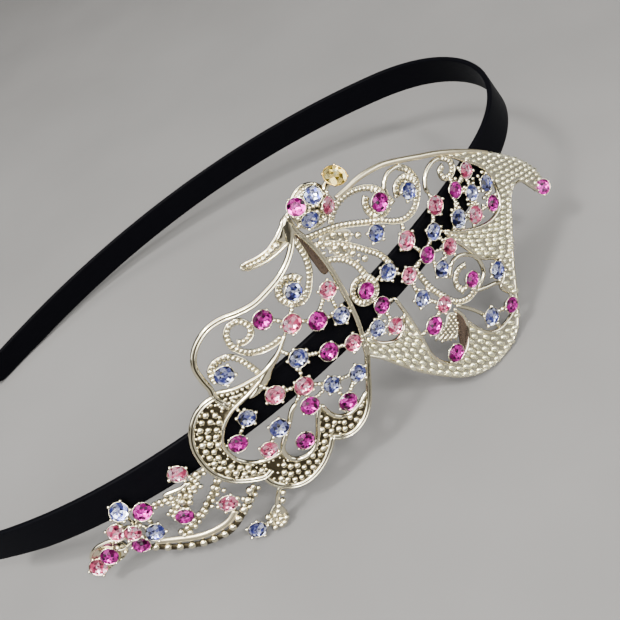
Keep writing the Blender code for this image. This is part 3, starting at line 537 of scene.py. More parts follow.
# Pellet sizes by the distance across, and what share of an ellipse round each has to be free.
PELLET_PLACES, PELLET_SIZES = (-26, -14, 2), (1.12, 1.0, 0.8)
PELLET_ROOM, PELLET_FREE = 0.9, 0.98
# Plates: how far in from the outline each kind of top levels out, how dark its painted shade is,
# and the power that a cup's curve rises by.
GROUND_SLOPE, GROUND_EDGE_DARK, CUP_SLOPE, CUP_POWER, CUP_DARK = 0.9, 0.35, 1.6, 0.7, 0.25


def srgb(code):
    """The linear colour of an sRGB hex code such as #E6DFC9."""
    parts = [int(code[k:k + 2], 16) / 255 for k in (1, 3, 5)]
    return tuple(c / 12.92 if c <= 0.04045 else ((c + 0.055) / 1.055) ** 2.4 for c in parts)


# Places and curves.

def band_line(along):
    """The band's middle line and its outward direction, for an array of distances from the crown.

    Formula: a circle arc about the head's back for the crown, then a wider arc, tangent to it,
    for each side; the outward direction is the arc's own radius.
    """
    turn = np.minimum(np.abs(along), CROWN_ARC) / CROWN_RADIUS
    side_turn = turn + np.maximum(np.abs(along) - CROWN_ARC, 0) / SIDE_RADIUS
    x = CROWN_RADIUS * (np.cos(turn) - 1) + SIDE_RADIUS * (np.cos(side_turn) - np.cos(turn))
    y = CROWN_RADIUS * np.sin(turn) + SIDE_RADIUS * (np.sin(side_turn) - np.sin(turn))
    leg = -np.sign(along)
    return np.stack((x, leg * y), -1), np.stack((np.cos(side_turn), leg * np.sin(side_turn)), -1)


def casting_line(along):
    """As band_line, but before WING_STRAIGHTENS_AT the line leaves the band on a gentler arc."""
    spot, out = band_line(np.maximum(along, WING_STRAIGHTENS_AT))
    start, first_out = band_line(np.array(WING_STRAIGHTENS_AT))
    turn = (math.atan2(-first_out[1], first_out[0])
            + (along - WING_STRAIGHTENS_AT) / WING_TIP_RADIUS)
    tip_out = np.stack((np.cos(turn), -np.sin(turn)), -1)
    tip_spot = start + (tip_out - first_out) * WING_TIP_RADIUS
    on_tip = (along < WING_STRAIGHTENS_AT)[..., None]
    return np.where(on_tip, tip_spot, spot), np.where(on_tip, tip_out, out)


def lie_down(points):
    """Turns points of the upright arch, in millimetres, as the headband rests."""
    return points @ np.array(REST_TURN).T


def bend(chart, line, back):
    """Chart points on the lying arch, in millimetres.

    Formula: the line's place, plus the height along the outward direction and the distance
    across straight up, both leaned by the band's lean; then the rest turn.
    """
    along, across, height = np.moveaxis(np.asarray(chart, float), -1, 0)
    spot, out = line(along)
    outward = (height + back) * math.cos(BAND_LEAN) - across * math.sin(BAND_LEAN)
    upward = (height + back) * math.sin(BAND_LEAN) + across * math.cos(BAND_LEAN)
    level = spot + out * outward[..., None]
    return lie_down(np.concatenate((level, upward[..., None]), -1))


def band_corners():
    """The chart places of the strip's widest section all along, which set its box."""
    along = np.arange(-BAND_END, BAND_END + 1, BAND_STEP)
    share = np.ones(len(along))
    share[[0, -1]], share[[1, -2]] = TIP_SHARE, NEXT_SHARE
    flat, half = BAND_WIDTH / 2 - BAND_EDGE, BAND_WIDTH / 2
    deep, thick = BAND_THICKNESS / 2 - BAND_EDGE, BAND_THICKNESS / 2
    section = np.array([(a * i, b * j) for a, b in ((flat, thick), (half, deep))
                        for i in (-1, 1) for j in (-1, 1)])
    across = share[:, None] * section[None, :, 0]
    places = np.broadcast_arrays(along[:, None], across, section[:, 1])
    return np.stack(places, -1).reshape(-1, 3)


# Where the arch's own origin lies in the frame, in millimetres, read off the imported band.
ARCH_SHIFT = np.array(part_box("band")[0]) / MM - bend(band_corners(), band_line, 0).min(0)


def travelled(path):
    """How far each place of a path lies from its start, measured along it."""
    return np.concatenate(([0], np.cumsum(np.linalg.norm(np.diff(path, axis=0), axis=1))))


def walked(values, reach, spots):
    """Values that go with a path's places, read between them at given distances along it."""
    return np.stack([np.interp(spots, reach, column) for column in values.T], -1)


def smooth_path(places, step, closed=False):
    """Evenly spaced places on a smooth curve through given ones.

    Formula: between two given places the curve is a cubic, whose slope at each place is that of
    the chord between its two neighbours, over the square roots of the chords' lengths.
    """
    knots = np.asarray(places, float)
    if closed:
        padded = np.vstack((knots[-1:], knots, knots[:2]))
    else:
        padded = np.vstack((2 * knots[0] - knots[1], knots, 2 * knots[-1] - knots[-2]))
    chords = np.linalg.norm(np.diff(padded, axis=0), axis=1)
    clock = np.concatenate(([0], np.cumsum(np.sqrt(chords))))
    slope = (padded[2:] - padded[:-2]) / (clock[2:] - clock[:-2])[:, None]
    run = (clock[2:-1] - clock[1:-2])[:, None, None]
    start, end = padded[1:-2, None], padded[2:-1, None]
    u = np.linspace(0, 1, CURVE_PARTS, endpoint=False)[None, :, None]
    curve = ((2 * u**3 - 3 * u**2 + 1) * start + (u**3 - 2 * u**2 + u) * run * slope[:-1, None]
             + (3 * u**2 - 2 * u**3) * end + (u**3 - u**2) * run * slope[1:, None])
    curve = np.vstack((curve.reshape(-1, knots.shape[1]), padded[-2:-1]))
    reach = travelled(curve)
    count = max(int(round(reach[-1] / step)), LEAST_STEPS)
    even = np.linspace(0, reach[-1], count + 1)[:count if closed else None]
    return walked(curve, reach, even)


def circle_path(along, across, radius, step):
    """Places round a circle."""
    angle = np.linspace(0, math.tau, max(int(math.tau * radius / step), 8), endpoint=False)
    return np.stack((along + radius * np.cos(angle), across + radius * np.sin(angle)), -1)


def at_height(path, height):
    """A flat path raised to one height, or to an array of heights."""
    return np.concatenate((path, np.broadcast_to(height, len(path))[:, None]), -1)


def directions(path, closed=False):
    """The unit tangent of a path and the unit vector to its left, in the plane of the chart."""
    if closed:
        slope = np.roll(path, -1, 0) - np.roll(path, 1, 0)
    else:
        slope = np.gradient(path, axis=0)
    tangent = slope[:, :2] / np.linalg.norm(slope[:, :2], axis=1)[:, None]
    return tangent, np.stack((-tangent[:, 1], tangent[:, 0]), -1)


def inside(places, outline):
    """Whether places lie inside a closed outline.

    Formula: a level line from a place inside it crosses the outline an odd number of times.
    """
    x, y = places[..., 0, None], places[..., 1, None]
    first, second = outline, np.roll(outline, -1, 0)
    rise = second[:, 1] - first[:, 1]
    level = np.where(rise == 0, 1e-9, rise)
    crosses = (first[:, 1] > y) != (second[:, 1] > y)
    meets = first[:, 0] + (y - first[:, 1]) * (second[:, 0] - first[:, 0]) / level
    return (crosses & (x < meets)).sum(-1) % 2 == 1


def nearest(places, path, closed=False):
    """The nearest place of a path to each given one, and how far it is."""
    first = path if closed else path[:-1]
    run = (np.roll(path, -1, 0) if closed else path[1:]) - first
    gap = places[..., None, :] - first
    share = np.clip((gap * run).sum(-1) / np.maximum((run * run).sum(-1), 1e-12), 0, 1)
    spots = first + share[..., None] * run
    distance = np.linalg.norm(places[..., None, :] - spots, axis=-1)
    best = distance.argmin(-1)
    spot = np.take_along_axis(spots, best[..., None, None], -2)[..., 0, :]
    return spot, np.take_along_axis(distance, best[..., None], -1)[..., 0]


def well_inside(places, outline, margin):
    """Whether places lie inside a closed outline, and further than the margin from it."""
    return inside(places, outline) & (nearest(places, outline, closed=True)[1] > margin)


def thinned(places, gap):
    """The places that have no earlier one nearer than the gap."""
    apart = np.linalg.norm(places[:, None] - places[None], axis=-1)
    return places[~np.tril(apart < gap, -1).any(1)]


# Surfaces. A Shape holds chart points, its four- and three-cornered faces, and for each point how
# dark it is painted, as shade and antique finish in the recesses, from 0 on a polished top to 1
# where the plating is darkest.
Shape = namedtuple("Shape", "points quads tris recess")
NO_TRIS = np.empty((0, 3), int)


def lattice(rows, columns, closed=False):
    """Four-cornered faces of rows of points round a tube; closed joins the last to the first."""
    row = np.arange(rows if closed else rows - 1)[:, None]
    column = np.arange(columns)[None, :]
    below, beside = (row + 1) % rows, (column + 1) % columns
    corners = (row * columns + column, row * columns + beside,
               below * columns + beside, below * columns + column)
    return np.stack(np.broadcast_arrays(*corners), -1).reshape(-1, 4)


def joined(shapes):
    """Several shapes as one."""
    starts = np.cumsum([0] + [len(shape.points) for shape in shapes[:-1]])
    return Shape(
        np.concatenate([shape.points for shape in shapes]),
        np.concatenate([shape.quads + start for shape, start in zip(shapes, starts)]),
        np.concatenate([shape.tris + start for shape, start in zip(shapes, starts)]),
        np.concatenate([shape.recess for shape in shapes]),
    )


def fans(rings, columns):
    """Faces that close a tube's first and last ring on two middle points, listed after them."""
    here = np.arange(columns)
    beside = (here + 1) % columns
    last = (rings - 1) * columns
    middle = np.full(columns, rings * columns)
    first = np.stack((middle, beside, here), -1)
    second = np.stack((middle + 1, last + here, last + beside), -1)
    return np.concatenate((first, second))


def sweep(path, section, scale=1.0, recess=0.0, closed=False):
    """A closed section carried along a path.

    Formula: at each place of the path, the section's first number goes to the path's left and its
    second one up, both times the scale there; a middle point closes each end.
    """
    rings, columns = len(path), len(section)
    left = directions(path, closed)[1]
    scale = np.broadcast_to(np.asarray(scale, float).reshape(-1, 1), (rings, 1))
    points = np.empty((rings, columns, 3))
    points[..., :2] = path[:, None, :2] + left[:, None] * (section[None, :, :1] * scale[..., None])
    points[..., 2] = path[:, None, 2] + section[None, :, 1] * scale
    depth = np.broadcast_to(recess, (rings, columns)).reshape(-1)
    points = points.reshape(-1, 3)
    if closed:
        return Shape(points, lattice(rings, columns, True), NO_TRIS, depth)
    points = np.concatenate((points, path[[0, -1]]))
    depth = np.concatenate((depth, [depth[0], depth[-1]]))
    return Shape(points, lattice(rings, columns), fans(rings, columns), depth)


def ellipse(half_width, half_height, sides):
    """A closed section: an ellipse, counted from its right side upwards."""
    angle = np.arange(sides) * math.tau / sides
    return np.stack((half_width * np.cos(angle), half_height * np.sin(angle)), -1)


def grooved_section(half_width, half_height, groove, sides, spread=0.26):
    """An ellipse whose top has a groove along its middle, and its painted shade with the antique
    finish: dark in the groove and on the lower sides.

    Formula: the ellipse's height, less a bell curve of the distance from its middle line.
    """
    section = ellipse(half_width, half_height, sides)
    bell = np.exp(-(section[:, 0] / (spread * half_width)) ** 2) * (section[:, 1] > 0)
    section[:, 1] -= groove * bell
    return section, np.clip(GROOVE_DARK * bell + low_side(section, half_height), 0, 1)


def low_side(section, half_height):
    """A wire section's painted shade and antique finish: dark at the foot and the sides, bright on
    top.
    """
    return np.clip(WIRE_DARK - section[:, 1] / half_height, 0, 1)


def wire(places, radius, middle, squeeze=1.0, sides=14, step=0.45):
    """A polished wire of one radius, its ends narrowed."""
    path = smooth_path(places, step)
    from_end = np.minimum(np.arange(len(path)), np.arange(len(path))[::-1])
    scale = np.sqrt(np.clip((from_end + 0.5) / WIRE_TIP_STEPS, 0, 1))
    section = ellipse(radius, radius * squeeze, sides)
    return sweep(at_height(path, middle), section, scale, low_side(section, radius * squeeze))


def scroll(path, radius, pitch, closed=False):
    """A scroll wire: a flat strip, painted dark as shade under its pellets, a thin smooth outer
    edge and pellets laid across it.

    Formula: all three follow one path; the edge is moved away from the side to which the path
    turns as a whole, and the pellets a little toward it.
    """
    tangent, left = directions(path, closed)
    turn = tangent[:-1, 0] * tangent[1:, 1] - tangent[:-1, 1] * tangent[1:, 0]
    outer = -np.sign(turn.sum())
    flat = ellipse(radius * STRIP_SHARE, SCROLL_HALF_HEIGHT, 12)
    strip = sweep(at_height(path, SCROLL_MIDDLE - STRIP_DROP), flat, 1.0, STRIP_DARK, closed)
    round_edge = ellipse(EDGE_HALF, SCROLL_HALF_HEIGHT, 10)
    edge = path + left * outer * (radius - EDGE_INSET)
    line = sweep(at_height(edge, SCROLL_MIDDLE + EDGE_RISE), round_edge, 1.0,
                 low_side(round_edge, SCROLL_HALF_HEIGHT), closed)
    reach = travelled(path)
    whole = reach[-1] + (reach[1] if closed else 0)
    count = round(whole / pitch)
    spots = (np.arange(count) + 0.5) * whole / count
    place, way = walked(path, reach, spots), walked(tangent, reach, spots)
    way /= np.linalg.norm(way, axis=1)[:, None]
    side = np.stack((-way[:, 1], way[:, 0]), -1)
    away = np.linalg.norm(place[:, None] - np.array(CURLED_STONES)[None], axis=-1).min(1)
    swell = SWELL * np.clip((SWELL_FROM - away) / SWELL_OVER, 0, 1)[:, None]
    axes = np.zeros((len(place), 3, 3))
    axes[:, 0, :2] = way * SCROLL_PELLET_LONG * pitch
    axes[:, 1, :2] = side * (radius - SCROLL_PELLET_INSET + swell)
    axes[:, 2, 2] = SCROLL_PELLET_HEIGHT
    middles = at_height(place - side * outer * SCROLL_PELLET_INWARD,
                        SCROLL_MIDDLE + SCROLL_PELLET_RISE)
    return joined((strip, line, scatter(ball(), middles, axes)))


def ball(sides=8, rings=3):
    """A unit ball of rings between two poles."""
    rise = np.linspace(-math.pi / 2, math.pi / 2, rings + 2)[1:-1, None]
    angle = np.arange(sides)[None] * math.tau / sides
    points = np.stack((np.cos(rise) * np.cos(angle), np.cos(rise) * np.sin(angle),
                       np.broadcast_to(np.sin(rise), (rings, sides))), -1).reshape(-1, 3)
    points = np.concatenate((points, ((0, 0, -1), (0, 0, 1))))
    quads = lattice(rings, sides)
    # The lower half is painted dark, as shade with the antique finish.
    return Shape(points, quads, fans(rings, sides), np.clip(BALL_DARK - points[:, 2], 0, 1))


def scatter(shape, middles, axes):
    """A copy of a shape at each middle; axes holds, for each, where its own three axes go."""
    middles = np.asarray(middles, float).reshape(-1, 3)
    axes = np.broadcast_to(axes, (len(middles), 3, 3))
    points = np.einsum("pi,nij->npj", shape.points, axes) + middles[:, None]
    starts = (np.arange(len(middles)) * len(shape.points))[:, None, None]
    return Shape(
        points.reshape(-1, 3),
        (shape.quads[None] + starts).reshape(-1, 4),
        (shape.tris[None] + starts).reshape(-1, 3),
        np.tile(shape.recess, len(middles)),
    )


def pellet():
    """A ball drawn out along its first axis: its width stays full until near the ends."""
    shape = ball(12, 4)
    points = shape.points.copy()
    points[:, 0] = np.sign(points[:, 0]) * np.abs(points[:, 0]) ** PELLET_FULLNESS
    # The lower half is painted dark, as shade with the antique finish.
    return shape._replace(points=points, recess=np.clip(PELLET_DARK - points[:, 2], 0, 1))


def balls(middles, radius, squeeze=1.0, fine=False):
    """Balls of one radius, or of an array of radii, at (along, across, height) middles."""
    size = np.broadcast_to(radius, len(middles))[:, None, None]
    return scatter(ball(10, 4) if fine else ball(), middles, size * np.diag((1, 1, squeeze)))


def lathe(profile, sides, recess):
    """A closed profile of (radius, height) turned about the upright axis."""
    angle = np.arange(sides)[None] * math.tau / sides
    radius, height, depth = profile[:, :1], profile[:, 1:], np.asarray(recess, float)[:, None]
    rings = np.broadcast_arrays(radius * np.cos(angle), radius * np.sin(angle), height, depth)
    points = np.stack(rings, -1).reshape(-1, 4)
    return Shape(points[:, :3], lattice(len(profile), sides, True), NO_TRIS, points[:, 3])


def plate(outline, low, top, step=0.5, smooth=True):
    """A plate with an exact outline, cut from a square grid.

    Formula: the grid's squares that reach into the outline stay, and their corners outside it
    move to the nearest place on it; top gives the upper face's height and painted shade from each
    corner's place and its distance to the outline; the under face is flat, and a wall joins them.
    """
    outline = smooth_path(outline, step / 2, closed=True) if smooth else np.array(outline)
    spans = [np.arange(outline[:, k].min() - step, outline[:, k].max() + 2 * step, step)
             for k in range(2)]
    corner = np.stack(np.meshgrid(*spans, indexing="ij"), -1)
    held = inside(corner, outline)
    spot, distance = nearest(corner, outline, closed=True)
    corner = np.where(held[..., None], corner, spot)
    height, recess = top(np.where(held, distance, 0))
    cell = held[:-1, :-1] | held[1:, :-1] | held[1:, 1:] | held[:-1, 1:]
    number = np.arange(held.size).reshape(held.shape)
    around = (number[:-1, :-1], number[1:, :-1], number[1:, 1:], number[:-1, 1:])
    used, quads = np.unique(np.stack(around, -1)[cell], return_inverse=True)
    quads = quads.reshape(-1, 4)
    flat = corner.reshape(-1, 2)[used]
    upper, lower = at_height(flat, height.reshape(-1)[used]), at_height(flat, low)
    # An edge that no other square runs back along lies on the rim.
    edges = np.stack((quads, np.roll(quads, -1, 1)), -1).reshape(-1, 2)
    count = len(used)
    rim = edges[~np.isin(edges @ (count, 1), edges @ (1, count))]
    walls = np.stack((rim[:, 0], rim[:, 0] + count, rim[:, 1] + count, rim[:, 1]), -1)
    return Shape(
        np.concatenate((upper, lower)),
        np.concatenate((quads, quads[:, ::-1] + count, walls)),
        NO_TRIS,
        np.concatenate((recess.reshape(-1)[used], np.ones(count))),
    )


def filled_rows(guide, region, first, spacing, pitch, rows, margin, rivals=()):
    """Places in rows that follow a guide line, inside a region.

    Formula: row k is the guide moved to its left by first + k spacings; places that come nearer
    to the guide than their row, to the region's outline than the margin, or to a rival guide
    than to their own, are left out, and so is a place too near an earlier one.
    """
    region = smooth_path(region, 0.4, closed=True)
    left = directions(guide)[1]
    found = []
    for k in range(rows):
        off = first + k * spacing
        path = guide + left * off
        reach = travelled(path)
        place = walked(path, reach, np.arange(pitch * (0.25 + 0.5 * (k % 2)), reach[-1], pitch))
        own = nearest(place, guide)[1]
        keep = well_inside(place, region, margin) & (own > off - 0.25 * spacing)
        for rival in rivals:
            keep &= own <= nearest(place, rival)[1] + 0.3 * spacing
        found.append(place[keep])
    return thinned(np.concatenate(found), 0.72 * min(pitch, spacing))


# Pieces put together from the surfaces.

def row_angle(along):
    """The angle of the hammered rows, in degrees: shallow by the tail, steep by the hind wing."""
    return np.clip(ROW_ANGLE + ROW_CHANGE * (along - ROW_AT), ROW_LEAST, ROW_MOST)


def pellet_angle(places):
    """The angle of the hammered pellets at each place, a little less than the rows' higher up."""
    return np.radians(row_angle(places[..., 0]) - ROW_LESS * (places[..., 1] > ROW_LESS_ABOVE))


def pellet_scale(places):
    """How large the pellets are at each place: small above the notch, large in the lower wing."""
    return np.interp(places[..., 1], PELLET_PLACES, PELLET_SIZES)


def hammered_places(region, spacing, pitch, margin):
    """Places of the hammered pellets inside a region.

    Formula: rows run along the pellets' own direction, which turns with the distance along, so
    each row is one curve shifted across; a place is left out where an ellipse of a pitch by nine
    tenths of a spacing round it, times the scale of the pellets there, holds an earlier one.
    """
    region = smooth_path(region, 0.4, closed=True)
    along = np.arange(ROW_START, ROW_END, ROW_STEP)
    rise = np.cumsum(np.tan(np.radians(row_angle(along)))) * ROW_STEP
    rise -= np.interp(ROW_ORIGIN, along, rise)
    tries = []
    for k, shift in enumerate(np.arange(*ROW_SHIFTS, spacing / math.cos(math.radians(ROW_SLOPE)))):
        row = np.stack((along, rise + shift), -1)
        reach = travelled(row)
        place = walked(row, reach, np.arange(0.5 * pitch * (k % 2), reach[-1], 0.25 * pitch))
        place = place[(place[:, 1] > FIELD_LOW) & (place[:, 1] < FIELD_HIGH)]
        tries.append(place[well_inside(place, region, margin)])
    tries = np.concatenate(tries)
    angle = np.radians(row_angle(tries[:, 0]))
    way = np.stack((np.cos(angle), np.sin(angle)), -1)
    scale = pellet_scale(tries)
    kept = np.zeros(len(tries), bool)
    for k, place in enumerate(tries):
        gap = (tries[kept] - place) / scale[k]
        ahead, beside = gap @ way[k], gap @ np.array((-way[k, 1], way[k, 0]))
        room = (ahead / pitch) ** 2 + (beside / (PELLET_ROOM * spacing)) ** 2
        kept[k] = (room >= PELLET_FREE).all()
    return tries[kept]


def stone_frames(stones):
    """The middle of each stone's seat, and its own three axes in the chart.

    Formula: the third axis leans from upright by the tilt, toward the stone's own angle.
    """
    middles = np.array([(stone.along, stone.across, stone.lift) for stone in stones], float)
    tilt = np.radians([stone.tilt for stone in stones])
    toward = np.radians([stone.toward for stone in stones])
    level = np.stack((np.cos(toward), np.sin(toward), np.zeros(len(stones))), -1)
    beside = np.stack((-np.sin(toward), np.cos(toward), np.zeros(len(stones))), -1)
    upright = np.array((0, 0, 1.0))
    first = level * np.cos(tilt)[:, None] - upright * np.sin(tilt)[:, None]
    third = level * np.sin(tilt)[:, None] + upright * np.cos(tilt)[:, None]
    return middles, np.stack((first, beside, third), 1)


def seat_profile(radius, girdle):
    """A cup's closed (radius, height) profile and painted shade: a dark cone under a thin bright
    lip.
    """
    edge = radius * STONE_SHOWS
    profile = np.array((
        (0.62 * radius, SEAT_LOW), (0.84 * radius, 0.5 * girdle), (edge + 0.04, girdle - 0.3),
        (edge + 0.13, girdle - 0.08), (edge + 0.13, girdle + 0.07), (edge + 0.05, girdle + 0.13),
        (edge - 0.03, girdle + 0.09), (edge - 0.12, girdle - 0.1), (edge - 0.3, girdle - 0.4),
        (0.4 * radius, 0.3),
    ))
    return profile, np.array((0.9, 0.62, 0.3, 0.05, 0, 0, 0.15, 0.8, 1, 1))


def seats(stones, girdle, turn_seed):
    """The cups of stones, ball prongs on each, and a stalk under each lifted one."""
    shapes = []
    middles, axes = stone_frames(stones)
    turns = np.random.default_rng(turn_seed).uniform(0, math.tau, len(stones))
    for stone, middle, axis, turn in zip(stones, middles, axes, turns):
        profile, recess = seat_profile(stone.radius, girdle)
        shapes.append(scatter(lathe(profile, 28, recess), middle[None], axis[None]))
        prongs, size, out = PRONGS[stone.color]
        angle = turn + np.arange(prongs) * math.tau / prongs
        reach = stone.radius * STONE_SHOWS + out
        claws = at_height(np.stack((np.cos(angle) * reach, np.sin(angle) * reach), -1),
                          girdle + PRONG_RISE)
        claw_axes = np.diag((size, size, size * PRONG_TALL)) @ axis
        shapes.append(scatter(ball(10, 4), claws @ axis + middle, claw_axes))
        if stone.lift:
            shapes.append(stalk(stone, girdle))
    return joined(shapes)


def stalk(stone, girdle):
    """The waisted post under a lifted stone."""
    rings = len(STALK_WAIST)
    levels = np.linspace(STALK_LOW, stone.lift + girdle / 2, rings)[:, None, None] * (0, 0, 1.0)
    ring = at_height(ellipse(STALK_RADIUS, STALK_RADIUS, STALK_SIDES), 0.0)
    foot = np.array((stone.along, stone.across, 0.0))
    points = ring[None] * np.array(STALK_WAIST)[:, None, None] + foot + levels
    points = np.concatenate((points.reshape(-1, 3), foot + levels[[0, -1], 0]))
    return Shape(points, lattice(rings, STALK_SIDES), fans(rings, STALK_SIDES),
                 np.full(len(points), STALK_DARK))


def bar(start, end):
    """A short rod between two places."""
    section = ellipse(BAR_RADIUS, BAR_RADIUS, 8)
    path = at_height(np.linspace(start, end, 5), BAR_MIDDLE)
    return sweep(path, section, 1.0, low_side(section, BAR_RADIUS))


def gap_balls(start, way, gap):
    """Places of balls side by side over a gap that starts at a place and runs a unit way."""
    count = max(int(round(gap / KNOB_PITCH)), 1)
    return [(*(start + way * gap * (k + 0.5) / count), KNOB_MIDDLE) for k in range(count)]


def seat_bars(stones, paths):
    """Rods between near seats and from each to the nearest wire, with balls over the gaps."""
    spots = np.array([(stone.along, stone.across) for stone in stones])
    radii = np.array([stone.radius for stone in stones]) + SEAT_WALL
    shapes, knobs = [], []
    for i, j in zip(*np.triu_indices(len(stones), 1)):
        run = spots[j] - spots[i]
        length = np.linalg.norm(run)
        if length < SEAT_REACH:
            shapes.append(bar(spots[i], spots[j]))
            gap = length - radii[i] - radii[j]
            if gap > SEAT_GAP:
                knobs += gap_balls(spots[i] + run * radii[i] / length, run / length, gap)
    for spot, radius in zip(spots, radii):
        tries = [nearest(spot[None], path) for path in paths]
        (place,), (length,) = min(tries, key=lambda found: found[1][0])
        if length < WIRE_REACH:
            shapes.append(bar(spot, place))
            way = (place - spot) / length
            gap = length - radius - WIRE_HALF
            if gap > WIRE_GAP:
                knobs += gap_balls(spot + way * radius, way, gap)
    size = np.random.default_rng(8).uniform(*KNOB_SIZES, len(knobs))
    shapes.append(balls(knobs, size, fine=True))
    return joined(shapes)


def polished_top(height, crown=0.35, soft=1.2):
    """A plate's top that is highest away from its outline, rising as a quarter circle does."""
    def top(distance):
        share = np.clip(distance / soft, 0, 1)
        # Near the outline the top is painted darker, as shade.
        return height + crown * np.sqrt(1 - (1 - share) ** 2), np.clip(0.5 - share, 0, 1)
    return top


def ground_top(height, depth, share_dark=0.65):
    """A plate's top sunk between its rims, painted dark in the sink as shade."""
    def top(distance):
        share = np.clip(distance / GROUND_SLOPE, 0, 1)
        return height - depth * share, GROUND_EDGE_DARK + share_dark * share
    return top


def cup_top(height, depth):
    """A cupped leaf's top: high and bright at the edge, hollow within and painted dark there as
    shade.
    """
    def top(distance):
        share = np.clip(distance / CUP_SLOPE, 0, 1)
        return height - depth * share**CUP_POWER, CUP_DARK * share
    return top


# Cut stones, for a girdle of radius 1: the table's rings, the kites, the wall and the tip.
INNER_RADIUS, STAR_RADIUS, TABLE_HEIGHT = 0.30, 0.58, 0.46
KITE_RADIUS, KITE_HEIGHT = 0.80, 0.24
GIRDLE_WALL, CULET_HEIGHT = 0.07, -0.35
# How bright a facet's painted reflection is, by its wedge and by chance.
PAINTED_FLASH, PAINTED_FLASH_WEDGE, PAINTED_FLASH_CHANCE = 0.5, 0.2, 0.34
# How far the foil behind a facet leans, in degrees, and how far aside by chance, in radians.
FOIL_LEAN, FOIL_WEDGE, FOIL_CHANCE, FOIL_ASIDE = 20, 7, 12, 0.45
# A stone shows a little wider than its seat's hole, since the lip is rolled over its edge.
STONE_SHOWS = 1.06


def cut_stone():
    """A unit stone and each facet's corners.

    Formula: a table of eight corners over eight kite places, half a step round, over a girdle of
    sixteen; the table is cut into three rings of wedges, as the back's facets show through it.
    """
    def ring(count, radius, height, shift=0.0):
        angle = (np.arange(count) + shift) * math.tau / count
        return np.stack((radius * np.cos(angle), radius * np.sin(angle),
                         np.full(count, height)), -1)

    # The middle of the table, then each ring of corners, then the tip at the back.
    points = np.concatenate((
        [(0, 0, TABLE_HEIGHT)], ring(8, INNER_RADIUS, TABLE_HEIGHT, 0.5),
        ring(8, STAR_RADIUS, TABLE_HEIGHT), ring(8, KITE_RADIUS, KITE_HEIGHT, 0.5),
        ring(16, 1.0, 0.0), ring(16, 1.0, -GIRDLE_WALL), [(0, 0, CULET_HEIGHT)],
    ))
    # Where each ring's corners start in that list.
    inner, table, kite, girdle, low, culet = 1, 9, 17, 25, 41, 57
    k = np.arange(8)
    after, before = (k + 1) % 8, (k - 1) % 8
    zero = np.zeros(8, int)
    tris = np.concatenate((
        np.stack((zero, inner + before, inner + k), -1),
        np.stack((inner + before, table + k, inner + k), -1),
        np.stack((inner + k, table + k, table + after), -1),
        np.stack((table + k, kite + k, table + after), -1),
        np.stack((kite + k, girdle + 2 * k, girdle + 2 * k + 1), -1),
        np.stack((kite + k, girdle + 2 * k + 1, girdle + 2 * after), -1),
    ))
    g = np.arange(16)
    beside = (g + 1) % 16
    quads = np.concatenate((
        np.stack((table + k, kite + before, girdle + 2 * k, kite + k), -1),
        np.stack((girdle + g, low + g, low + beside, girdle + beside), -1),
    ))
    tris = np.concatenate((tris, np.stack((np.full(16, culet), low + beside, low + g), -1)))
    return Shape(points, quads, tris, np.zeros(len(points)))


def stone_group(stones, girdles, seed):
    """All stones of one colour, with each facet's painted reflection and the foil's direction
    behind it.

    Formula: the foil is a cone open upward, so behind each facet it leans toward the stone's
    middle; neighbouring wedges lean more and less in turn, and a little by chance.
    """
    unit = cut_stone()
    middles, axes = stone_frames(stones)
    chance = np.random.default_rng(seed)
    turn = chance.uniform(0, math.tau, len(stones))
    spin = np.zeros((len(stones), 3, 3))
    spin[:, 0, 0], spin[:, 0, 1] = np.cos(turn), np.sin(turn)
    spin[:, 1, 0], spin[:, 1, 1] = -np.sin(turn), np.cos(turn)
    spin[:, 2, 2] = 1
    radii = np.array([stone.radius for stone in stones]) * STONE_SHOWS
    own = spin @ axes
    seats_at = middles + np.asarray(girdles)[:, None] * axes[:, 2]
    shape = scatter(unit, seats_at, own * radii[:, None, None])
    centre = np.concatenate((unit.points[unit.quads].mean(1), unit.points[unit.tris].mean(1)))
    bearing = np.arctan2(centre[:, 1], centre[:, 0])
    wedge = np.sign(np.cos(8 * bearing + 0.3))
    # scatter lists the facets of all stones in turn, first all quads and then all triangles.
    count, quads, facets = len(stones), len(unit.quads), len(centre)
    which = np.concatenate((np.tile(np.arange(quads), count),
                            np.tile(np.arange(quads, facets), count)))
    owner = np.concatenate((np.repeat(np.arange(count), quads),
                            np.repeat(np.arange(count), facets - quads)))
    flash = PAINTED_FLASH + PAINTED_FLASH_WEDGE * wedge[which] + chance.normal(0, PAINTED_FLASH_CHANCE, len(which))
    lean = np.radians(FOIL_LEAN + FOIL_WEDGE * wedge[which]
                      + chance.uniform(-FOIL_CHANCE, FOIL_CHANCE, len(which)))
    way = bearing[which] + math.pi + chance.normal(0, FOIL_ASIDE, len(which))
    local = np.stack((np.sin(lean) * np.cos(way), np.sin(lean) * np.sin(way), np.cos(lean)), -1)
    return shape, np.clip(flash, 0, 1), np.einsum("fi,fij->fj", local, own[owner])


# Into Blender.

def to_world(chart, line=casting_line, back=CASTING_BACK):
    """Chart points in metres, in the frame's own place."""
    return (bend(chart, line, back) + ARCH_SHIFT) * MM


def to_mesh(name, shape, line, back):
    """A mesh of a shape. The chart is a left-handed one, so each face is turned round."""
    mesh = bpy.data.meshes.new(name)
    faces = shape.quads[:, ::-1].tolist() + shape.tris[:, ::-1].tolist()
    mesh.from_pydata(to_world(shape.points, line, back), [], faces)
    recess = mesh.attributes.new("recess", "FLOAT", "POINT")
    recess.data.foreach_set("value", shape.recess.astype(np.float32))
    chart = mesh.attributes.new("chart", "FLOAT_VECTOR", "POINT")
    chart.data.foreach_set("vector", shape.points.astype(np.float32).ravel())
    return mesh


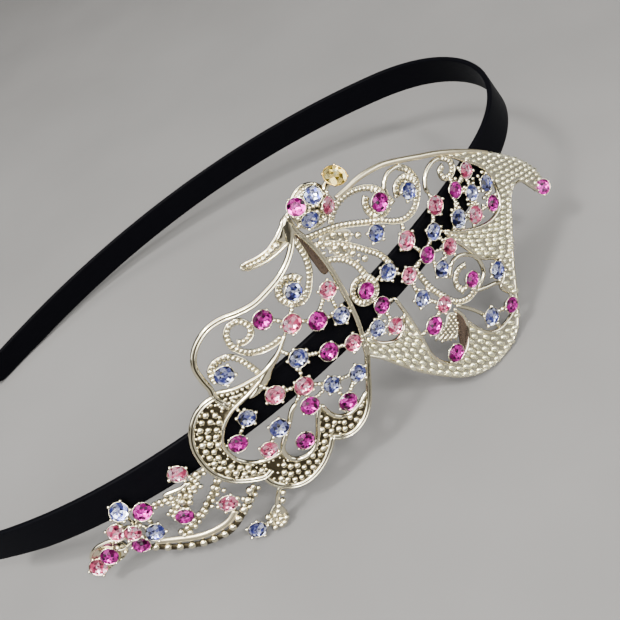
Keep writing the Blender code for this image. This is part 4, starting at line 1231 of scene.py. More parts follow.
def add_piece(name, shape, material, nodes, faceted=False, line=casting_line,
              back=CASTING_BACK):
    """A piece of the headband: its mesh, finish, material slot and the nodes it stands for."""
    mesh = to_mesh(name, shape, line, back)
    mesh.materials.append(material)
    if faceted:
        mesh.shade_flat()
    else:
        mesh.shade_smooth()
    piece = bpy.data.objects.new(name, mesh)
    bpy.context.scene.collection.objects.link(piece)
    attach(piece, BODY)
    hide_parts(*nodes)
    return piece


def add_metal(name, shapes, finish, nodes=("butterfly",)):
    """A plated piece of one or more shapes."""
    add_piece(name, joined(shapes), plating(finish), nodes)


def add_node(tree, kind, settings):
    """Adds a node; a setting is an input's value or link, or one of the node's own options."""
    node = tree.nodes.new(kind)
    for key, value in settings.items():
        if isinstance(value, bpy.types.NodeSocket):
            tree.links.new(value, node.inputs[key])
        elif isinstance(key, int) or key in node.inputs:
            node.inputs[key].default_value = value
        else:
            setattr(node, key, value)
    return node


def new_material(name):
    """A material with its node tree and its Principled shader."""
    material = bpy.data.materials.new(name)
    material.use_nodes = True
    return material, material.node_tree, material.node_tree.nodes["Principled BSDF"]


def four(color, times=1.0):
    """A colour some times as bright, with the fourth number that a shader's colour has."""
    return (*(c * times for c in color[:3]), 1.0)


# The finishes of the plating: its colour and how many times as bright, the colour of the painted
# shade and antique finish in the recesses and how many times as bright, the roughness, the skin's
# height in mm, and how unevenly the recesses' dark was wiped off.
FINISHES = {
    "champagne_plating_polished": ("bright_plating", 1, "dark_recess", 1, 0.13, 0.008, 0.0),
    # A shade warmer and softer.
    "warm_plating_edge": ("warm_plating", 1, "dark_recess", 1, 0.3, 0.006, 0.0),
    # A lighter copy of the plating, as painted light on the pellets; struck and only lightly
    # polished.
    "struck_plating": ("bright_plating", 1.4, "dark_recess", 1, 0.26, 0.02, 0.0),
    # Gold-coloured, on the topaz stone's seat alone.
    "gold_plating_polished": ("gold", 1, "dark_recess", 1, 0.16, 0.006, 0.0),
    # Sunk between rims and painted darker there as shade, over an antique finish wiped off least.
    "antiqued_plating_ground": ("ground", 1, "dark_recess", 2.4, 0.36, 0.03, 0.5),
    # Left matt and nearly unwiped, so brown-grey; its recesses a darker copy of it, as painted
    # shade.
    "brushed_blade_plating": ("blade", 1, "blade", 0.5, 0.26, 0.02, 0.5),
    # Lighter than the hind wing's plate; its recesses a darker copy of its colour, as painted
    # shade.
    "wiped_plating_field": ("field", 1, "field", 0.25, 0.42, 0.03, 0.3),
}


def plating(name):
    """Champagne-coloured rhodium plating over a tumble-polished zinc casting, in one finish.

    Bright and mirror-like on the tops, with soft waves from the tumbling; the recesses and lower
    sides are painted dark, partly as an antique finish and partly as painted shade, which draws
    each wire and bead with a black line.
    """
    if name in bpy.data.materials:
        return bpy.data.materials[name]
    bright, times, dark, dark_times, roughness, skin_height, patches = FINISHES[name]
    bright = [min(c * times, 1.0) for c in getattr(colors(), bright)]
    dark = getattr(colors(), dark)
    material, tree, shader = new_material(name)
    place = add_node(tree, "ShaderNodeTexCoord", {}).outputs["Object"]
    recess = add_node(tree, "ShaderNodeAttribute", {"attribute_name": "recess"}).outputs["Fac"]
    # Blotches of about 2 mm shift the plating's tint a little.
    blotch = add_node(tree, "ShaderNodeTexNoise", {
        "Vector": place, "Scale": 500.0, "Detail": 3.0}).outputs["Fac"]
    tint = add_node(tree, "ShaderNodeMix", {
        "data_type": "RGBA", 0: blotch, 6: four(bright), 7: four(bright, 0.86)}).outputs[2]
    # The dark of the recesses, antique finish and painted shade, is wiped off unevenly, in patches
    # of about 1.2 mm.
    wiped = add_node(tree, "ShaderNodeTexNoise", {
        "Vector": place, "Scale": 830.0, "Detail": 2.0}).outputs["Fac"]
    level = add_node(tree, "ShaderNodeMath", {
        "operation": "MULTIPLY_ADD", 0: wiped, 1: -2.0 * patches, 2: patches}).outputs[0]
    depth = add_node(tree, "ShaderNodeMath", {"operation": "ADD", 0: recess, 1: level}).outputs[0]
    # Painted shade: this mask darkens the recesses and lower sides, together with the antique
    # finish.
    edge = add_node(tree, "ShaderNodeMapRange", {
        "Value": depth, "From Min": 0.18, "From Max": 0.95,
        "interpolation_type": "SMOOTHSTEP"}).outputs[0]
    shade = add_node(tree, "ShaderNodeMix", {
        "data_type": "RGBA", 0: edge, 6: tint, 7: four(dark, dark_times)}).outputs[2]
    tree.links.new(shade, shader.inputs["Base Color"])
    shader.inputs["Metallic"].default_value = 1.0
    # Polishing marks of about 0.4 mm vary the gloss.
    marks = add_node(tree, "ShaderNodeTexNoise", {
        "Vector": place, "Scale": 2500.0, "Detail": 2.0}).outputs["Fac"]
    gloss = add_node(tree, "ShaderNodeMapRange", {
        "Value": marks, "To Min": roughness * 0.7, "To Max": roughness * 1.4}).outputs[0]
    rough = add_node(tree, "ShaderNodeMix", {
        "data_type": "FLOAT", 0: edge, 2: gloss, 3: min(roughness + 0.3, 1.0)}).outputs[0]
    tree.links.new(rough, shader.inputs["Roughness"])
    # The casting's skin: waves of about 0.6 mm, up to a few hundredths of a millimetre high.
    skin = add_node(tree, "ShaderNodeTexNoise", {
        "Vector": place, "Scale": 1600.0, "Detail": 2.0}).outputs["Fac"]
    bump = add_node(tree, "ShaderNodeBump", {
        "Height": skin, "Strength": 1.0, "Distance": skin_height * MM}).outputs["Normal"]
    tree.links.new(bump, shader.inputs["Normal"])
    return material


def satin(color, sheen):
    """Black polyester satin ribbon, woven with long floats along the band and glued on the strip.

    The floats give a soft, faint highlight across the threads and a cool grey sheen at a low
    angle; seen from the front it is nearly black.
    """
    material, tree, shader = new_material("black_polyester_satin")
    chart = add_node(tree, "ShaderNodeAttribute", {"attribute_name": "chart"}).outputs["Vector"]
    # Floats 3 mm long and 0.25 mm wide, about twice as wide as the real ones.
    stretched = add_node(tree, "ShaderNodeMapping", {
        "Vector": chart, "Scale": (0.35, 4.0, 4.0)}).outputs["Vector"]
    floats = add_node(tree, "ShaderNodeTexNoise", {
        "Vector": stretched, "Scale": 1.0, "Detail": 2.0}).outputs["Fac"]
    # Soft unevenness of the padding below, over about 12 mm.
    padding = add_node(tree, "ShaderNodeTexNoise", {
        "Vector": chart, "Scale": 0.08, "Detail": 1.0}).outputs["Fac"]
    shade = add_node(tree, "ShaderNodeMix", {
        "data_type": "RGBA", 0: floats, 6: four(color), 7: four(color, 2.2)}).outputs[2]
    tree.links.new(shade, shader.inputs["Base Color"])
    gloss = add_node(tree, "ShaderNodeMapRange", {
        "Value": floats, "To Min": 0.38, "To Max": 0.55}).outputs[0]
    tree.links.new(gloss, shader.inputs["Roughness"])
    shader.inputs["Sheen Weight"].default_value = 0.008
    shader.inputs["Specular IOR Level"].default_value = 0.02
    shader.inputs["Sheen Roughness"].default_value = 0.45
    shader.inputs["Sheen Tint"].default_value = four(sheen)
    soft = add_node(tree, "ShaderNodeBump", {
        "Height": padding, "Strength": 0.6, "Distance": 0.12 * MM}).outputs["Normal"]
    bump = add_node(tree, "ShaderNodeBump", {
        "Height": floats, "Strength": 0.7, "Distance": 0.03 * MM, "Normal": soft})
    tree.links.new(bump.outputs["Normal"], shader.inputs["Normal"])
    return material


def foiled_glass(name, deep, body, flash):
    """Pressed and cut glass with a silvered back, under a clear polished crown.

    Each facet's colour is painted from almost black to nearly white, as painted reflections of the
    foil; the foil's tilt throws the light back each its own way, and the crown adds a sharp gleam
    of its own.
    """
    material, tree, shader = new_material(name)
    # Each facet's painted reflection, read from the darkest to the brightest colour.
    share = add_node(tree, "ShaderNodeAttribute", {"attribute_name": "flash"}).outputs["Fac"]
    ramp = add_node(tree, "ShaderNodeValToRGB", {"Fac": share})
    stops = ramp.color_ramp.elements
    stops[0].position, stops[0].color = 0.05, four(deep)
    stops[1].position, stops[1].color = 0.97, four(flash)
    stops.new(0.42).color = four(body)
    stops.new(0.78).color = four([(a + b) / 2 for a, b in zip(body, flash)])
    tree.links.new(ramp.outputs["Color"], shader.inputs["Base Color"])
    # The foil's direction, as a normal map's colour: each part halved, and a half more.
    shine = add_node(tree, "ShaderNodeAttribute", {"attribute_name": "foil"}).outputs["Vector"]
    half = add_node(tree, "ShaderNodeVectorMath", {
        "operation": "MULTIPLY_ADD", 0: shine, 1: (0.5,) * 3, 2: (0.5,) * 3}).outputs[0]
    tilt = add_node(tree, "ShaderNodeNormalMap", {"space": "OBJECT", "Color": half})
    tree.links.new(tilt.outputs["Normal"], shader.inputs["Normal"])
    # Most of the light comes back from the foil, tinted, and some from the glass itself.
    shader.inputs["Metallic"].default_value = 0.8
    shader.inputs["Roughness"].default_value = 0.18
    shader.inputs["Coat Weight"].default_value = 0.25
    shader.inputs["Coat Roughness"].default_value = 0.02
    shader.inputs["Coat IOR"].default_value = 1.55
    return material


def studio_card(tone):
    """Matt grey card, rolled and uncoated, so it shows no reflection, only soft clouds."""
    material, tree, shader = new_material("matt_studio_card")
    place = add_node(tree, "ShaderNodeTexCoord", {}).outputs["Object"]
    # Clouds of about 70 mm, and smaller ones in them.
    cloud = add_node(tree, "ShaderNodeTexNoise", {
        "Vector": place, "Scale": 14.0, "Detail": 4.0}).outputs["Fac"]
    shade = add_node(tree, "ShaderNodeMix", {
        "data_type": "RGBA", 0: cloud, 6: four(tone, 0.78), 7: four(tone, 1.15)}).outputs[2]
    tree.links.new(shade, shader.inputs["Base Color"])
    shader.inputs["Roughness"].default_value = 0.9
    return material


# What a user may change.

def length(name, description, millimetres):
    """A property for a length."""
    return bpy.props.FloatProperty(
        name=name, description=description, default=millimetres * MM, min=0.0, precision=5,
        unit="LENGTH")


def color(name, description, code):
    """A property for a colour."""
    return bpy.props.FloatVectorProperty(
        name=name, description=description, default=srgb(code), min=0.0, max=1.0,
        subtype="COLOR")


class HeadbandSizes(bpy.types.PropertyGroup):
    """The sizes of the fine work."""

    rim_width: length("Rim width", "Width of the hind wing's grooved rims", 1.45)
    cell_wire: length("Cell wire", "Width of the plain wires round the cells", 0.95)
    strip_width: length(
        "Upper strip", "Width of the smooth strip along the fore wing's upper edge", 1.3)
    bead_width: length("Scroll width", "Width of the beaded scroll wires", 1.56)
    bead_pitch: length("Bead pitch", "Distance between two beads", 1.03)
    granule_width: length("Granule width", "Width of the granules in the hind wing's border", 1.72)
    granule_pitch: length("Granule pitch", "Distance between two granules", 1.92)
    granule_spacing: length("Granule row spacing", "Distance between two rows of granules", 1.7)
    pellet_pitch: length("Pellet pitch", "Distance between two hammered pellets in a row", 2.2)
    pellet_spacing: length("Pellet row spacing", "Distance between two rows of pellets", 1.22)


class HeadbandColors(bpy.types.PropertyGroup):
    """The colours of the finishes."""

    bright_plating: color("Bright plating", "The polished plating", "#E0D8BB")
    warm_plating: color("Warm plating", "The smooth edge strip, a little warmer", "#EFE2BE")
    # Painted shade in the recesses and on the lower sides, together with the antique finish.
    dark_recess: color("Dark recess", "The finish left in the recesses", "#201C14")
    ground: color("Ground", "The hind wing's plates between their rims", "#B2AB90")
    field: color("Field", "The fore wing's plate under the hammered rows", "#EBE5D0")
    gold: color("Gold", "The topaz stone's seat", "#E2BE66")
    blade: color("Blade", "The dull brown-grey blades", "#7C6B5E")
    satin: color("Satin", "The ribbon", "#020203")
    satin_sheen: color("Satin sheen", "The ribbon's sheen at a low angle", "#8C9AB0")
    floor: color("Floor", "The studio floor", "#555453")


def sizes():
    """The sizes in millimetres."""
    group = bpy.context.scene.headband_sizes
    names = HeadbandSizes.__annotations__
    return namedtuple("Sizes", names)(*(getattr(group, name) / MM for name in names))


def colors():
    """The colours of the finishes."""
    return bpy.context.scene.headband_colors


class AddBand(bpy.types.Operator):
    """Add the satin-covered band"""

    bl_idname = "headband.add_band"
    bl_label = "Satin band"

    def execute(self, context):
        end = BAND_END + RIBBON_PAST
        along = np.linspace(-end, end, RIBBON_RINGS)
        path = at_height(np.stack((along, np.zeros_like(along)), -1), 0.0)
        # Half of the section: a rounded corner, the flat face and the other corner.
        corner = np.linspace(0, math.pi / 2, 6)
        reach, rise = BAND_WIDTH / 2 - BAND_EDGE, BAND_THICKNESS / 2 - BAND_EDGE
        quarter = np.stack((reach + BAND_EDGE * np.cos(corner),
                            rise + BAND_EDGE * np.sin(corner)), -1)
        face = np.linspace(reach, -reach, 9)[1:-1]
        top = np.stack((face, np.full(len(face), BAND_THICKNESS / 2)), -1)
        half = np.concatenate((quarter, top, quarter[::-1] * (-1, 1)))
        shape = sweep(path, np.concatenate((half, -half)))
        place, across = shape.points[:, 0], shape.points[:, 1]
        share = np.clip((end - np.abs(place)) / TIP_LENGTH, 0, 1)
        across *= TIP_SHARE + (1 - TIP_SHARE) * np.sqrt(1 - (1 - share) ** 2)
        across += RIBBON_RISE * (0.5 + across / BAND_WIDTH)
        lift = LIFT * np.clip((np.abs(place) - LIFT_START) / LIFT_LENGTH, 0, 1)
        across += lift * np.clip(0.5 - across / BAND_WIDTH, 0, 1)
        cloth = satin(colors().satin, colors().satin_sheen)
        add_piece("satin_band", shape, cloth, ["band"], line=band_line, back=0.0)
        return {"FINISHED"}


class AddRims(bpy.types.Operator):
    """Add the polished rims, cell wires and the fore wing's edge strip"""

    bl_idname = "headband.add_rims"
    bl_label = "Rims and edges"

    def execute(self, context):
        size = sizes()
        section, depth = grooved_section(
            size.rim_width / 2, half_height=0.66, groove=0.42, sides=32)
        rims = [sweep(at_height(smooth_path(places, step=0.45), 0.74), section, recess=depth)
                for places in HIND_LOBES.values()]
        # The middle wire is a double one, with less painted shade in its groove.
        section, depth = grooved_section(
            half_width=0.66, half_height=0.64, groove=0.34, sides=28, spread=0.3)
        middle = smooth_path(HIND_CELLS["centre"], step=0.45)
        rims.append(sweep(at_height(middle, 0.76), section, recess=depth * MIDDLE_SHADE_SHARE))
        add_metal("hind_wing_rims", rims, "champagne_plating_polished")
        thin = size.cell_wire / 2
        cells = [wire(places, thin * CELL_SHARE.get(name, 1.0), middle=0.74, squeeze=1.1)
                 for name, places in HIND_CELLS.items() if name != "centre"]
        cells += [wire(places, thin * 0.95, middle=0.75, squeeze=1.2)
                  for places in FORE_CELLS.values()]
        cells += [wire(places, thin * 1.1, middle=0.72) for places in PLAIN_SCROLLS.values()]
        cells += [wire(FORE_EDGE, thin * 0.8, middle=0.6, squeeze=1.1),
                  wire(STALK, radius=0.5, middle=0.66)]
        # The antenna's leaf has a thin wire along each of its sides.
        cells += [wire(side, radius=0.3, middle=1.0)
                  for side in (ANTENNA_LEAF[:9], ANTENNA_LEAF[8:16])]
        add_metal("cell_wires", cells, "champagne_plating_polished")
        path = smooth_path(TOP_STRIP, step=0.5)
        share = np.linspace(0, 1, len(path))
        # Seven tenths as wide by the head, full after a sixth, narrower over the last quarter.
        width = 0.7 + 0.3 * np.clip(share * 6, 0, 1) - 0.45 * np.clip((share - 0.75) * 4, 0, 1)
        strip = ellipse(size.strip_width / 2, half_height=0.62, sides=22)
        edge = sweep(at_height(path, 0.7), strip, width, low_side(strip, half_height=0.62))
        add_metal("top_edge_strip", [edge], "warm_plating_edge")
        return {"FINISHED"}


class AddScrolls(bpy.types.Operator):
    """Add the beaded scroll wires"""

    bl_idname = "headband.add_scrolls"
    bl_label = "Beaded scrolls"

    def execute(self, context):
        radius, pitch = sizes().bead_width / 2, sizes().bead_pitch
        wires = [scroll(smooth_path(places, step=0.25), radius, pitch)
                 for places in BEADED_SCROLLS.values()]
        wires += [scroll(circle_path(*ring, step=0.25), radius * RING_SHARE, pitch, closed=True)
                  for ring in RINGED_STONES]
        add_metal("beaded_scrolls", wires, "champagne_plating_polished")
        return {"FINISHED"}


class AddGrounds(bpy.types.Operator):
    """Add the plates that carry granules and hammered rows, and the smooth blades"""

    bl_idname = "headband.add_grounds"
    bl_label = "Plates"

    def execute(self, context):
        add_metal("hind_border_plate", [
            plate(HIND_BORDER, low=0.15, top=ground_top(height=0.85, depth=0.35)),
            plate(ANTENNA_LEAF, low=0.15, top=ground_top(height=0.95, depth=0.25, share_dark=0.3),
                  step=0.35),
        ], "antiqued_plating_ground")
        add_metal("fore_field_plate", [
            plate(FORE_FIELD, low=0.15, top=ground_top(height=0.85, depth=0.25)),
            plate(VEIN_FILL, low=0.2, top=ground_top(height=0.8, depth=0.2), step=0.4),
            plate(PETAL_GRAINS, low=0.2, top=ground_top(height=0.7, depth=0.15), step=0.35),
        ], "wiped_plating_field")
        add_metal("smooth_leaves", [
            plate(NECK, low=0.3, top=polished_top(height=0.9, crown=0.5), step=0.35),
            plate(LEAF_ROOT, low=0.3, top=polished_top(height=0.7, crown=0.45, soft=1.0),
                  step=0.3),
            plate(BRIDGE_WEB, low=0.2, top=polished_top(height=0.75, soft=0.9), step=0.3),
            plate(STALK_LEAF, low=0.15, top=polished_top(height=0.35, crown=0.3), step=0.35),
        ], "champagne_plating_polished")
        add_metal("grey_blade", [
            plate(BLADE, low=0.2, top=polished_top(height=0.6, soft=1.0), step=0.3),
            plate(PETAL, low=0.2, top=cup_top(height=1.15, depth=0.5), step=0.3),
        ], "brushed_blade_plating")
        return {"FINISHED"}


class AddGranules(bpy.types.Operator):
    """Add the granules of the hind wing's border and the small clusters"""

    bl_idname = "headband.add_granules"
    bl_label = "Granules"

    def execute(self, context):
        size = sizes()
        pitch, spacing, radius = size.granule_pitch, size.granule_spacing, size.granule_width / 2
        low_rim = (*HIND_LOBES["low_lobe"][1:], *HIND_LOBES["inner_lobe"][1:6])
        side = smooth_path(HIND_LOBES["side_lobe"][1:-1], step=0.3)[::-1]
        low = smooth_path(low_rim, step=0.3)[::-1]
        bridge = smooth_path(HIND_CELLS["bridge"][:4], step=0.3)
        # Big ones follow both rims, closer along the low one, and small ones the bridge.
        sides = filled_rows(side, HIND_BORDER, first=1.85, spacing=spacing, pitch=pitch, rows=3,
                            margin=0.85, rivals=[low, bridge])
        lows = filled_rows(low, HIND_BORDER, first=1.7, spacing=spacing, pitch=pitch * 0.86,
                           rows=4, margin=0.8, rivals=[side])
        small = filled_rows(bridge, HIND_BORDER, first=0.9, spacing=1.05, pitch=1.1, rows=4,
                            margin=0.6, rivals=[side])
        chance = np.random.default_rng(11)
        grains = []
        for spots, size_of in ((sides, radius), (lows, radius * 0.93), (small, 0.5)):
            shift = chance.normal(0, GRANULE_SHIFT * size_of, (len(spots), 3))
            radii = size_of * chance.uniform(*GRANULE_SIZES, len(spots))
            rows = balls(at_height(spots, 0.72) + shift, radii, fine=True)
            grains.append(rows._replace(recess=np.clip(rows.recess + BORDER_DARKER, 0, 1)))
        # Seeds fall at random between the big granules.
        big = np.concatenate((sides, lows))
        outline = smooth_path(HIND_BORDER, step=0.4, closed=True)
        spots = chance.uniform(outline.min(0), outline.max(0), (SEED_COUNT, 2))
        clear = np.linalg.norm(spots[:, None] - big[None], axis=-1).min(1) > radius * 1.1
        spots = thinned(spots[clear & well_inside(spots, outline, SEED_MARGIN)], SEED_APART)
        grains.append(balls(at_height(spots, 0.6), chance.uniform(0.3, 0.5, len(spots))))
        shrinking = np.linspace(0.95, 0.42, len(LEAF_BALLS))
        grains += [
            balls(at_height(VEIN_BALLS, 0.9), radius=0.84, squeeze=0.9, fine=True),
            balls(at_height(VEIN_SEEDS, 0.85), radius=0.5),
            balls(at_height(LEAF_BALLS, 1.0), shrinking, fine=True),
            balls(at_height(STALK_BALLS, 0.85), radius=0.76, fine=True),
            balls(at_height(TIP_BALLS, 0.8), radius=0.5, fine=True),
        ]
        # The petal is filled with even rows, and has slanted ticks along its edge.
        petal = smooth_path(PETAL_GRAINS, step=0.3, closed=True)
        spans = [np.arange(*span, PETAL_PITCH) for span in (PETAL_ALONG, PETAL_ACROSS)]
        rows = np.stack(np.meshgrid(*spans), -1).reshape(-1, 2)
        grains.append(balls(at_height(rows[inside(rows, petal)], 0.72), radius=0.42))
        ticks = at_height(PETAL_TICKS, 0.9)
        grains.append(scatter(ball(), ticks, np.array(TICK_AXES) * TICK_SIZE))
        add_metal("wing_granules", grains, "champagne_plating_polished")
        return {"FINISHED"}


class AddPellets(bpy.types.Operator):
    """Add the hammered rows of the fore wing"""

    bl_idname = "headband.add_pellets"
    bl_label = "Hammered rows"

    def execute(self, context):
        size = sizes()
        places = hammered_places(FORE_FIELD, size.pellet_spacing, size.pellet_pitch, margin=0.4)
        count = len(places)
        chance = np.random.default_rng(5)
        slant = pellet_angle(places) + chance.normal(0, PELLET_TURN, count)
        turned = np.stack((np.cos(slant), np.sin(slant)), -1)
        growth = pellet_scale(places)
        long = PELLET_LONG * size.pellet_pitch * growth * chance.uniform(*PELLET_LENGTHS, count)
        wide = PELLET_WIDE * size.pellet_spacing * growth * chance.uniform(*PELLET_WIDTHS, count)
        axes = np.zeros((count, 3, 3))
        axes[:, 0, :2] = turned * long[:, None]
        axes[:, 1, 0], axes[:, 1, 1] = -turned[:, 1] * wide, turned[:, 0] * wide
        axes[:, 2, 2] = PELLET_TALL
        moved = places + chance.normal(0, PELLET_SHIFT, places.shape)
        add_metal("hammered_rows", [scatter(pellet(), at_height(moved, 0.74), axes)],
                  "struck_plating")
        return {"FINISHED"}


class AddSeats(bpy.types.Operator):
    """Add the stones' seats, their prongs and the rods between them"""

    bl_idname = "headband.add_seats"
    bl_label = "Stone seats"

    def execute(self, context):
        loose = [*HIND_STONES, *FORE_STONES]
        cups = [seats(loose, LOOSE_GIRDLE, turn_seed=3),
                seats(CLOSE_STONES, CLOSE_GIRDLE, turn_seed=4)]
        add_metal("stone_seats", cups, "champagne_plating_polished")
        tables = (HIND_LOBES, HIND_CELLS, FORE_CELLS, BEADED_SCROLLS, PLAIN_SCROLLS)
        wires = [places for table in tables for places in table.values()]
        wires += [FORE_EDGE, TOP_EDGE, STALK]
        paths = [smooth_path(places, step=0.5) for places in wires]
        bars = seat_bars([*loose, *CLOSE_STONES], paths)
        add_metal("joining_bars", [bars], "champagne_plating_polished")
        return {"FINISHED"}


class AddHead(bpy.types.Operator):
    """Add the head's dome, its small balls and the arm and seat of the topaz stone"""

    bl_idname = "headband.add_head"
    bl_label = "Head"

    def execute(self, context):
        angle = np.linspace(0, math.tau, 40, endpoint=False)
        rim = HEAD_MIDDLE + np.stack((np.cos(angle), np.sin(angle)), -1) * HEAD_RADII
        collar = ellipse(half_width=0.4, half_height=0.4, sides=12)
        add_metal("butterfly_head", [
            plate(rim, low=0.1, top=polished_top(height=0.9, crown=1.1, soft=3.2), step=0.45,
                  smooth=False),
            sweep(at_height(circle_path(*HEAD_MIDDLE, radius=4.5, step=0.4), 0.75), collar,
                  recess=low_side(collar, half_height=0.4), closed=True),
            balls(at_height(circle_path(*HEAD_MIDDLE, radius=3.9, step=1.0), 1.3), radius=0.36),
            balls(HEAD_BALLS, radius=0.45, fine=True),
            wire(TOPAZ_ARM, radius=0.75, middle=0.75),
        ], "champagne_plating_polished")
        add_metal("topaz_seat", [seats([TOPAZ_STONE], LOOSE_GIRDLE, turn_seed=3)],
                  "gold_plating_polished")
        return {"FINISHED"}


class AddSpray(bpy.types.Operator):
    """Add the trailing spray: its stems, granules, flower, leaf and seats"""

    bl_idname = "headband.add_spray"
    bl_label = "Flower spray"

    def execute(self, context):
        nodes = ["flower_spray"]
        chance = np.random.default_rng(21)
        balled = [wire(BALLED_STEM, radius=0.8, middle=0.5, squeeze=0.6)]
        grained = [wire(places, radius=0.75, middle=0.5, squeeze=0.6)
                   for places in GRAINED_STEMS.values()]
        # The stems are painted dark all over, as shade under their balls and grains.
        dark = [stem._replace(recess=np.full(len(stem.points), depth))
                for stems, depth in ((balled, BALLED_DARK), (grained, GRAINED_DARK))
                for stem in stems]
        add_metal("spray_dark_stem", dark, "antiqued_plating_ground", nodes)
        drops = smooth_path(BALLED_STEM, DROP_STEP)
        way, left = directions(drops)
        axes = np.zeros((len(drops), 3, 3))
        axes[:, 0, :2], axes[:, 1, :2] = way * DROP_RADII[0], left * DROP_RADII[1]
        axes[:, 2, 2] = DROP_RADII[2]
        shapes = [scatter(ball(12, 5), at_height(drops + left * DROP_SIDE, 1.0), axes)]
        for places in GRAINED_STEMS.values():
            row = smooth_path(places, GRAIN_STEP)
            side = directions(row)[1] * GRAIN_SIDE
            for sign in (-1, 1):
                moved = chance.normal(0, GRAIN_CHANCE, (len(row), 3))
                size = chance.uniform(*GRAIN_RADII, len(row))
                shapes.append(balls(at_height(row + sign * side, 0.9) + moved, size, fine=True))
        stems = (*GRAINED_STEMS.values(), BALLED_STEM, SMOOTH_STEM)
        shapes += [
            seats(SPRAY_STONES, CLOSE_GIRDLE, turn_seed=6),
            seats(FLOWER_STONES, CLOSE_GIRDLE, turn_seed=7),
            *(wire(places, radius=0.45, middle=0.8) for places in LEAF_STEMS.values()),
            wire(CRESCENT, radius=0.6, middle=0.75, squeeze=0.8),
            plate(SPRAY_LEAF, low=0.15, top=cup_top(height=1.3, depth=0.6), step=0.35),
            balls(SPRAY_BALLS, radius=0.6, fine=True),
            seat_bars([*FLOWER_STONES, *SPRAY_STONES],
                      [smooth_path(places, step=0.5) for places in stems]),
        ]
        add_metal("flower_and_stems", shapes, "champagne_plating_polished", nodes)
        section, groove = grooved_section(
            half_width=0.82, half_height=0.55, groove=0.12, sides=24)
        path = at_height(smooth_path(SMOOTH_STEM, step=0.4), 0.75)
        add_metal("spray_smooth_stem", [sweep(path, section, recess=groove * STEM_SHADE_SHARE)],
                  "warm_plating_edge", nodes)
        return {"FINISHED"}


# Each glass's painted facet colours: a painted dark reflection, the body colour and a painted
# bright reflection.
STONE_GLASS = {
    "fuchsia": ("#26001C", "#92006E", "#FF34D6"),
    "rose": ("#6E1A3C", "#F05A8A", "#FFDCEA"),
    "blue": ("#03051C", "#40489A", "#E2E8FF"),
    "topaz": ("#7A6418", "#F4D05C", "#FFFCC8"),
}


class AddStones(bpy.types.Operator):
    """Add the cut stones, one piece for each colour"""

    bl_idname = "headband.add_stones"
    bl_label = "Cut stones"

    def execute(self, context):
        rows = [(stone, LOOSE_GIRDLE, f"{wing}_stone_{i:02d}")
                for wing, stones in (("hind", HIND_STONES), ("fore", FORE_STONES))
                for i, stone in enumerate(stones, 1)]
        rows.append((TOPAZ_STONE, LOOSE_GIRDLE, "head_stone"))
        rows += [(stone, CLOSE_GIRDLE, "butterfly") for stone in CLOSE_STONES]
        rows += [(stone, CLOSE_GIRDLE, "flower_spray")
                 for stone in (*FLOWER_STONES, *SPRAY_STONES)]
        for seed, (name, codes) in enumerate(STONE_GLASS.items(), 31):
            stones, girdles, nodes = zip(*(row for row in rows if row[0].color == name))
            shape, flash, foil = stone_group(stones, girdles, seed)
            glass = foiled_glass(f"{name}_foiled_glass", *map(srgb, codes))
            piece = add_piece(f"{name}_stones", shape, glass,
                              sorted(set(nodes)), faceted=True)
            self.add_facets(piece.data, shape, flash, foil)
        return {"FINISHED"}

    @staticmethod
    def add_facets(mesh, shape, flash, foil):
        """Writes each facet's painted reflection, and its foil's direction carried onto the arch.
        """
        start = shape.points[np.concatenate((shape.quads[:, 0], shape.tris[:, 0]))]
        tip = to_world(start + foil * 0.01) - to_world(start)
        tip /= np.linalg.norm(tip, axis=1)[:, None]
        rows = mesh.attributes.new("flash", "FLOAT", "FACE").data
        rows.foreach_set("value", flash.astype(np.float32))
        rows = mesh.attributes.new("foil", "FLOAT_VECTOR", "FACE").data
        rows.foreach_set("vector", tip.astype(np.float32).ravel())


# The lights: where each hangs and how large it is, in metres, its power in watts and its tint.
LIGHTS = {
    "overhead_softbox": ((-0.05, 0.12, 0.65), (0.9, 0.6), 9.0, (1.0, 0.99, 0.96)),
    "front_softbox": ((-0.12, -0.45, 0.50), (0.9, 0.5), 16.0, (1.0, 0.98, 0.95)),
    "side_softbox": ((-0.6, -0.25, 0.35), (0.4, 0.4), 2.5, (0.95, 0.97, 1.0)),
    "right_softbox": ((0.60, -0.30, 0.22), (0.4, 0.3), 2.5, (0.93, 0.96, 1.0)),
    "bright_lamp": ((-0.25, -0.20, 0.60), (0.09, 0.09), 7.0, (1.0, 0.98, 0.95)),
    "second_lamp": ((0.18, -0.42, 0.52), (0.07, 0.07), 4.0, (1.0, 0.98, 0.95)),
}
LIGHTS_AIM = (-0.02, -0.03, 0.02)
# The room's own faint light.
ROOM_COLOR, ROOM_STRENGTH = (0.62, 0.61, 0.60, 1), 0.09
# The floor: how far it reaches each way, and how far below the headband it lies.
FLOOR_REACH, FLOOR_BELOW = 1.5, 0.0001


def add_area_light(name, place, size, power, tint):
    """A lamp or softbox that is turned toward the headband."""
    lamp = bpy.data.lights.new(name, "AREA")
    lamp.shape = "RECTANGLE"
    lamp.size, lamp.size_y = size
    lamp.energy = power
    lamp.color = tint
    holder = bpy.data.objects.new(name, lamp)
    holder.location = place
    way = Vector(LIGHTS_AIM) - Vector(place)
    holder.rotation_euler = way.to_track_quat("-Z", "Y").to_euler()
    bpy.context.scene.collection.objects.link(holder)


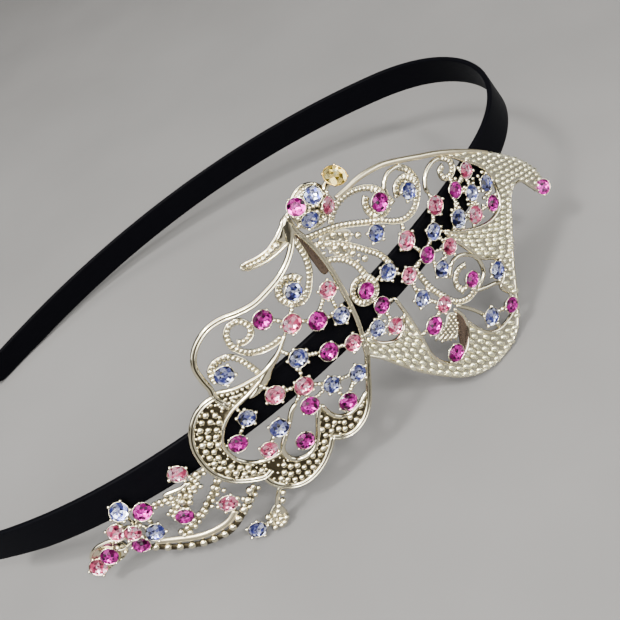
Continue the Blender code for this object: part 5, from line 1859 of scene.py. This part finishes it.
def camera_matrix():
    """The camera's place and turn: looked at in the upright arch, then laid down with it."""
    azimuth, elevation, roll = map(math.radians, (CAMERA_AZIMUTH, CAMERA_ELEVATION, CAMERA_ROLL))
    back = Vector((math.sin(azimuth) * math.cos(elevation),
                   -math.cos(azimuth) * math.cos(elevation), math.sin(elevation)))
    level = Vector((math.cos(azimuth), math.sin(azimuth), 0))
    down = (-back).cross(level)
    right = level * math.cos(roll) + down * math.sin(roll)
    up = level * math.sin(roll) - down * math.cos(roll)
    turn = REST_TURN @ Matrix((right, up, back)).transposed()
    place = REST_TURN @ (Vector(CAMERA_TARGET) + back * CAMERA_DISTANCE) + Vector(ARCH_SHIFT)
    return Matrix.Translation(place * MM) @ turn.to_4x4()


class AddStage(bpy.types.Operator):
    """Add the pale floor, the soft studio lights and the camera"""

    bl_idname = "headband.add_stage"
    bl_label = "Stage"

    def execute(self, context):
        scene = context.scene
        level = CAD_BOX[0].z - FLOOR_BELOW
        corners = [(x * FLOOR_REACH, y * FLOOR_REACH, level)
                   for x, y in ((-1, -1), (1, -1), (1, 1), (-1, 1))]
        mesh = bpy.data.meshes.new("studio_floor")
        mesh.from_pydata(corners, [], [(0, 1, 2, 3)])
        mesh.materials.append(studio_card(colors().floor))
        floor = bpy.data.objects.new("studio_floor", mesh)
        scene.collection.objects.link(floor)

        world = bpy.data.worlds.new("studio")
        world.use_nodes = True
        background = world.node_tree.nodes["Background"]
        background.inputs["Color"].default_value = ROOM_COLOR
        background.inputs["Strength"].default_value = ROOM_STRENGTH
        scene.world = world
        for name, light in LIGHTS.items():
            add_area_light(name, *light)

        lens = bpy.data.cameras.new("camera")
        lens.lens, lens.sensor_width = CAMERA_LENS, CAMERA_SENSOR
        lens.clip_start, lens.clip_end = 0.01, 10.0
        camera = bpy.data.objects.new("camera", lens)
        camera.matrix_world = camera_matrix()
        scene.collection.objects.link(camera)
        scene.camera = camera
        return {"FINISHED"}


PIECE_OPERATORS = (AddBand, AddRims, AddScrolls, AddGrounds, AddGranules, AddPellets, AddSeats,
                   AddHead, AddSpray, AddStones, AddStage)


class HeadbandPanel(bpy.types.Panel):
    """The headband's pieces, sizes and colours"""

    bl_idname = "VIEW3D_PT_headband"
    bl_label = "Butterfly Headband"
    bl_space_type = "VIEW_3D"
    bl_region_type = "UI"
    bl_category = "Headband"

    def draw(self, context):
        for group, kind in ((context.scene.headband_sizes, HeadbandSizes),
                            (context.scene.headband_colors, HeadbandColors)):
            for name in kind.__annotations__:
                self.layout.prop(group, name)
        for operator in PIECE_OPERATORS:
            self.layout.operator(operator.bl_idname)


CLASSES = (HeadbandSizes, HeadbandColors, *PIECE_OPERATORS, HeadbandPanel)


def register():
    for kind in CLASSES:
        bpy.utils.register_class(kind)
    bpy.types.Scene.headband_sizes = bpy.props.PointerProperty(type=HeadbandSizes)
    bpy.types.Scene.headband_colors = bpy.props.PointerProperty(type=HeadbandColors)


def unregister():
    del bpy.types.Scene.headband_colors
    del bpy.types.Scene.headband_sizes
    for kind in reversed(CLASSES):
        bpy.utils.unregister_class(kind)


def main():
    register()
    bpy.ops.headband.add_band()
    bpy.ops.headband.add_rims()
    bpy.ops.headband.add_scrolls()
    bpy.ops.headband.add_grounds()
    bpy.ops.headband.add_granules()
    bpy.ops.headband.add_pellets()
    bpy.ops.headband.add_seats()
    bpy.ops.headband.add_head()
    bpy.ops.headband.add_spray()
    bpy.ops.headband.add_stones()
    bpy.ops.headband.add_stage()


if __name__ == "__main__":
    main()
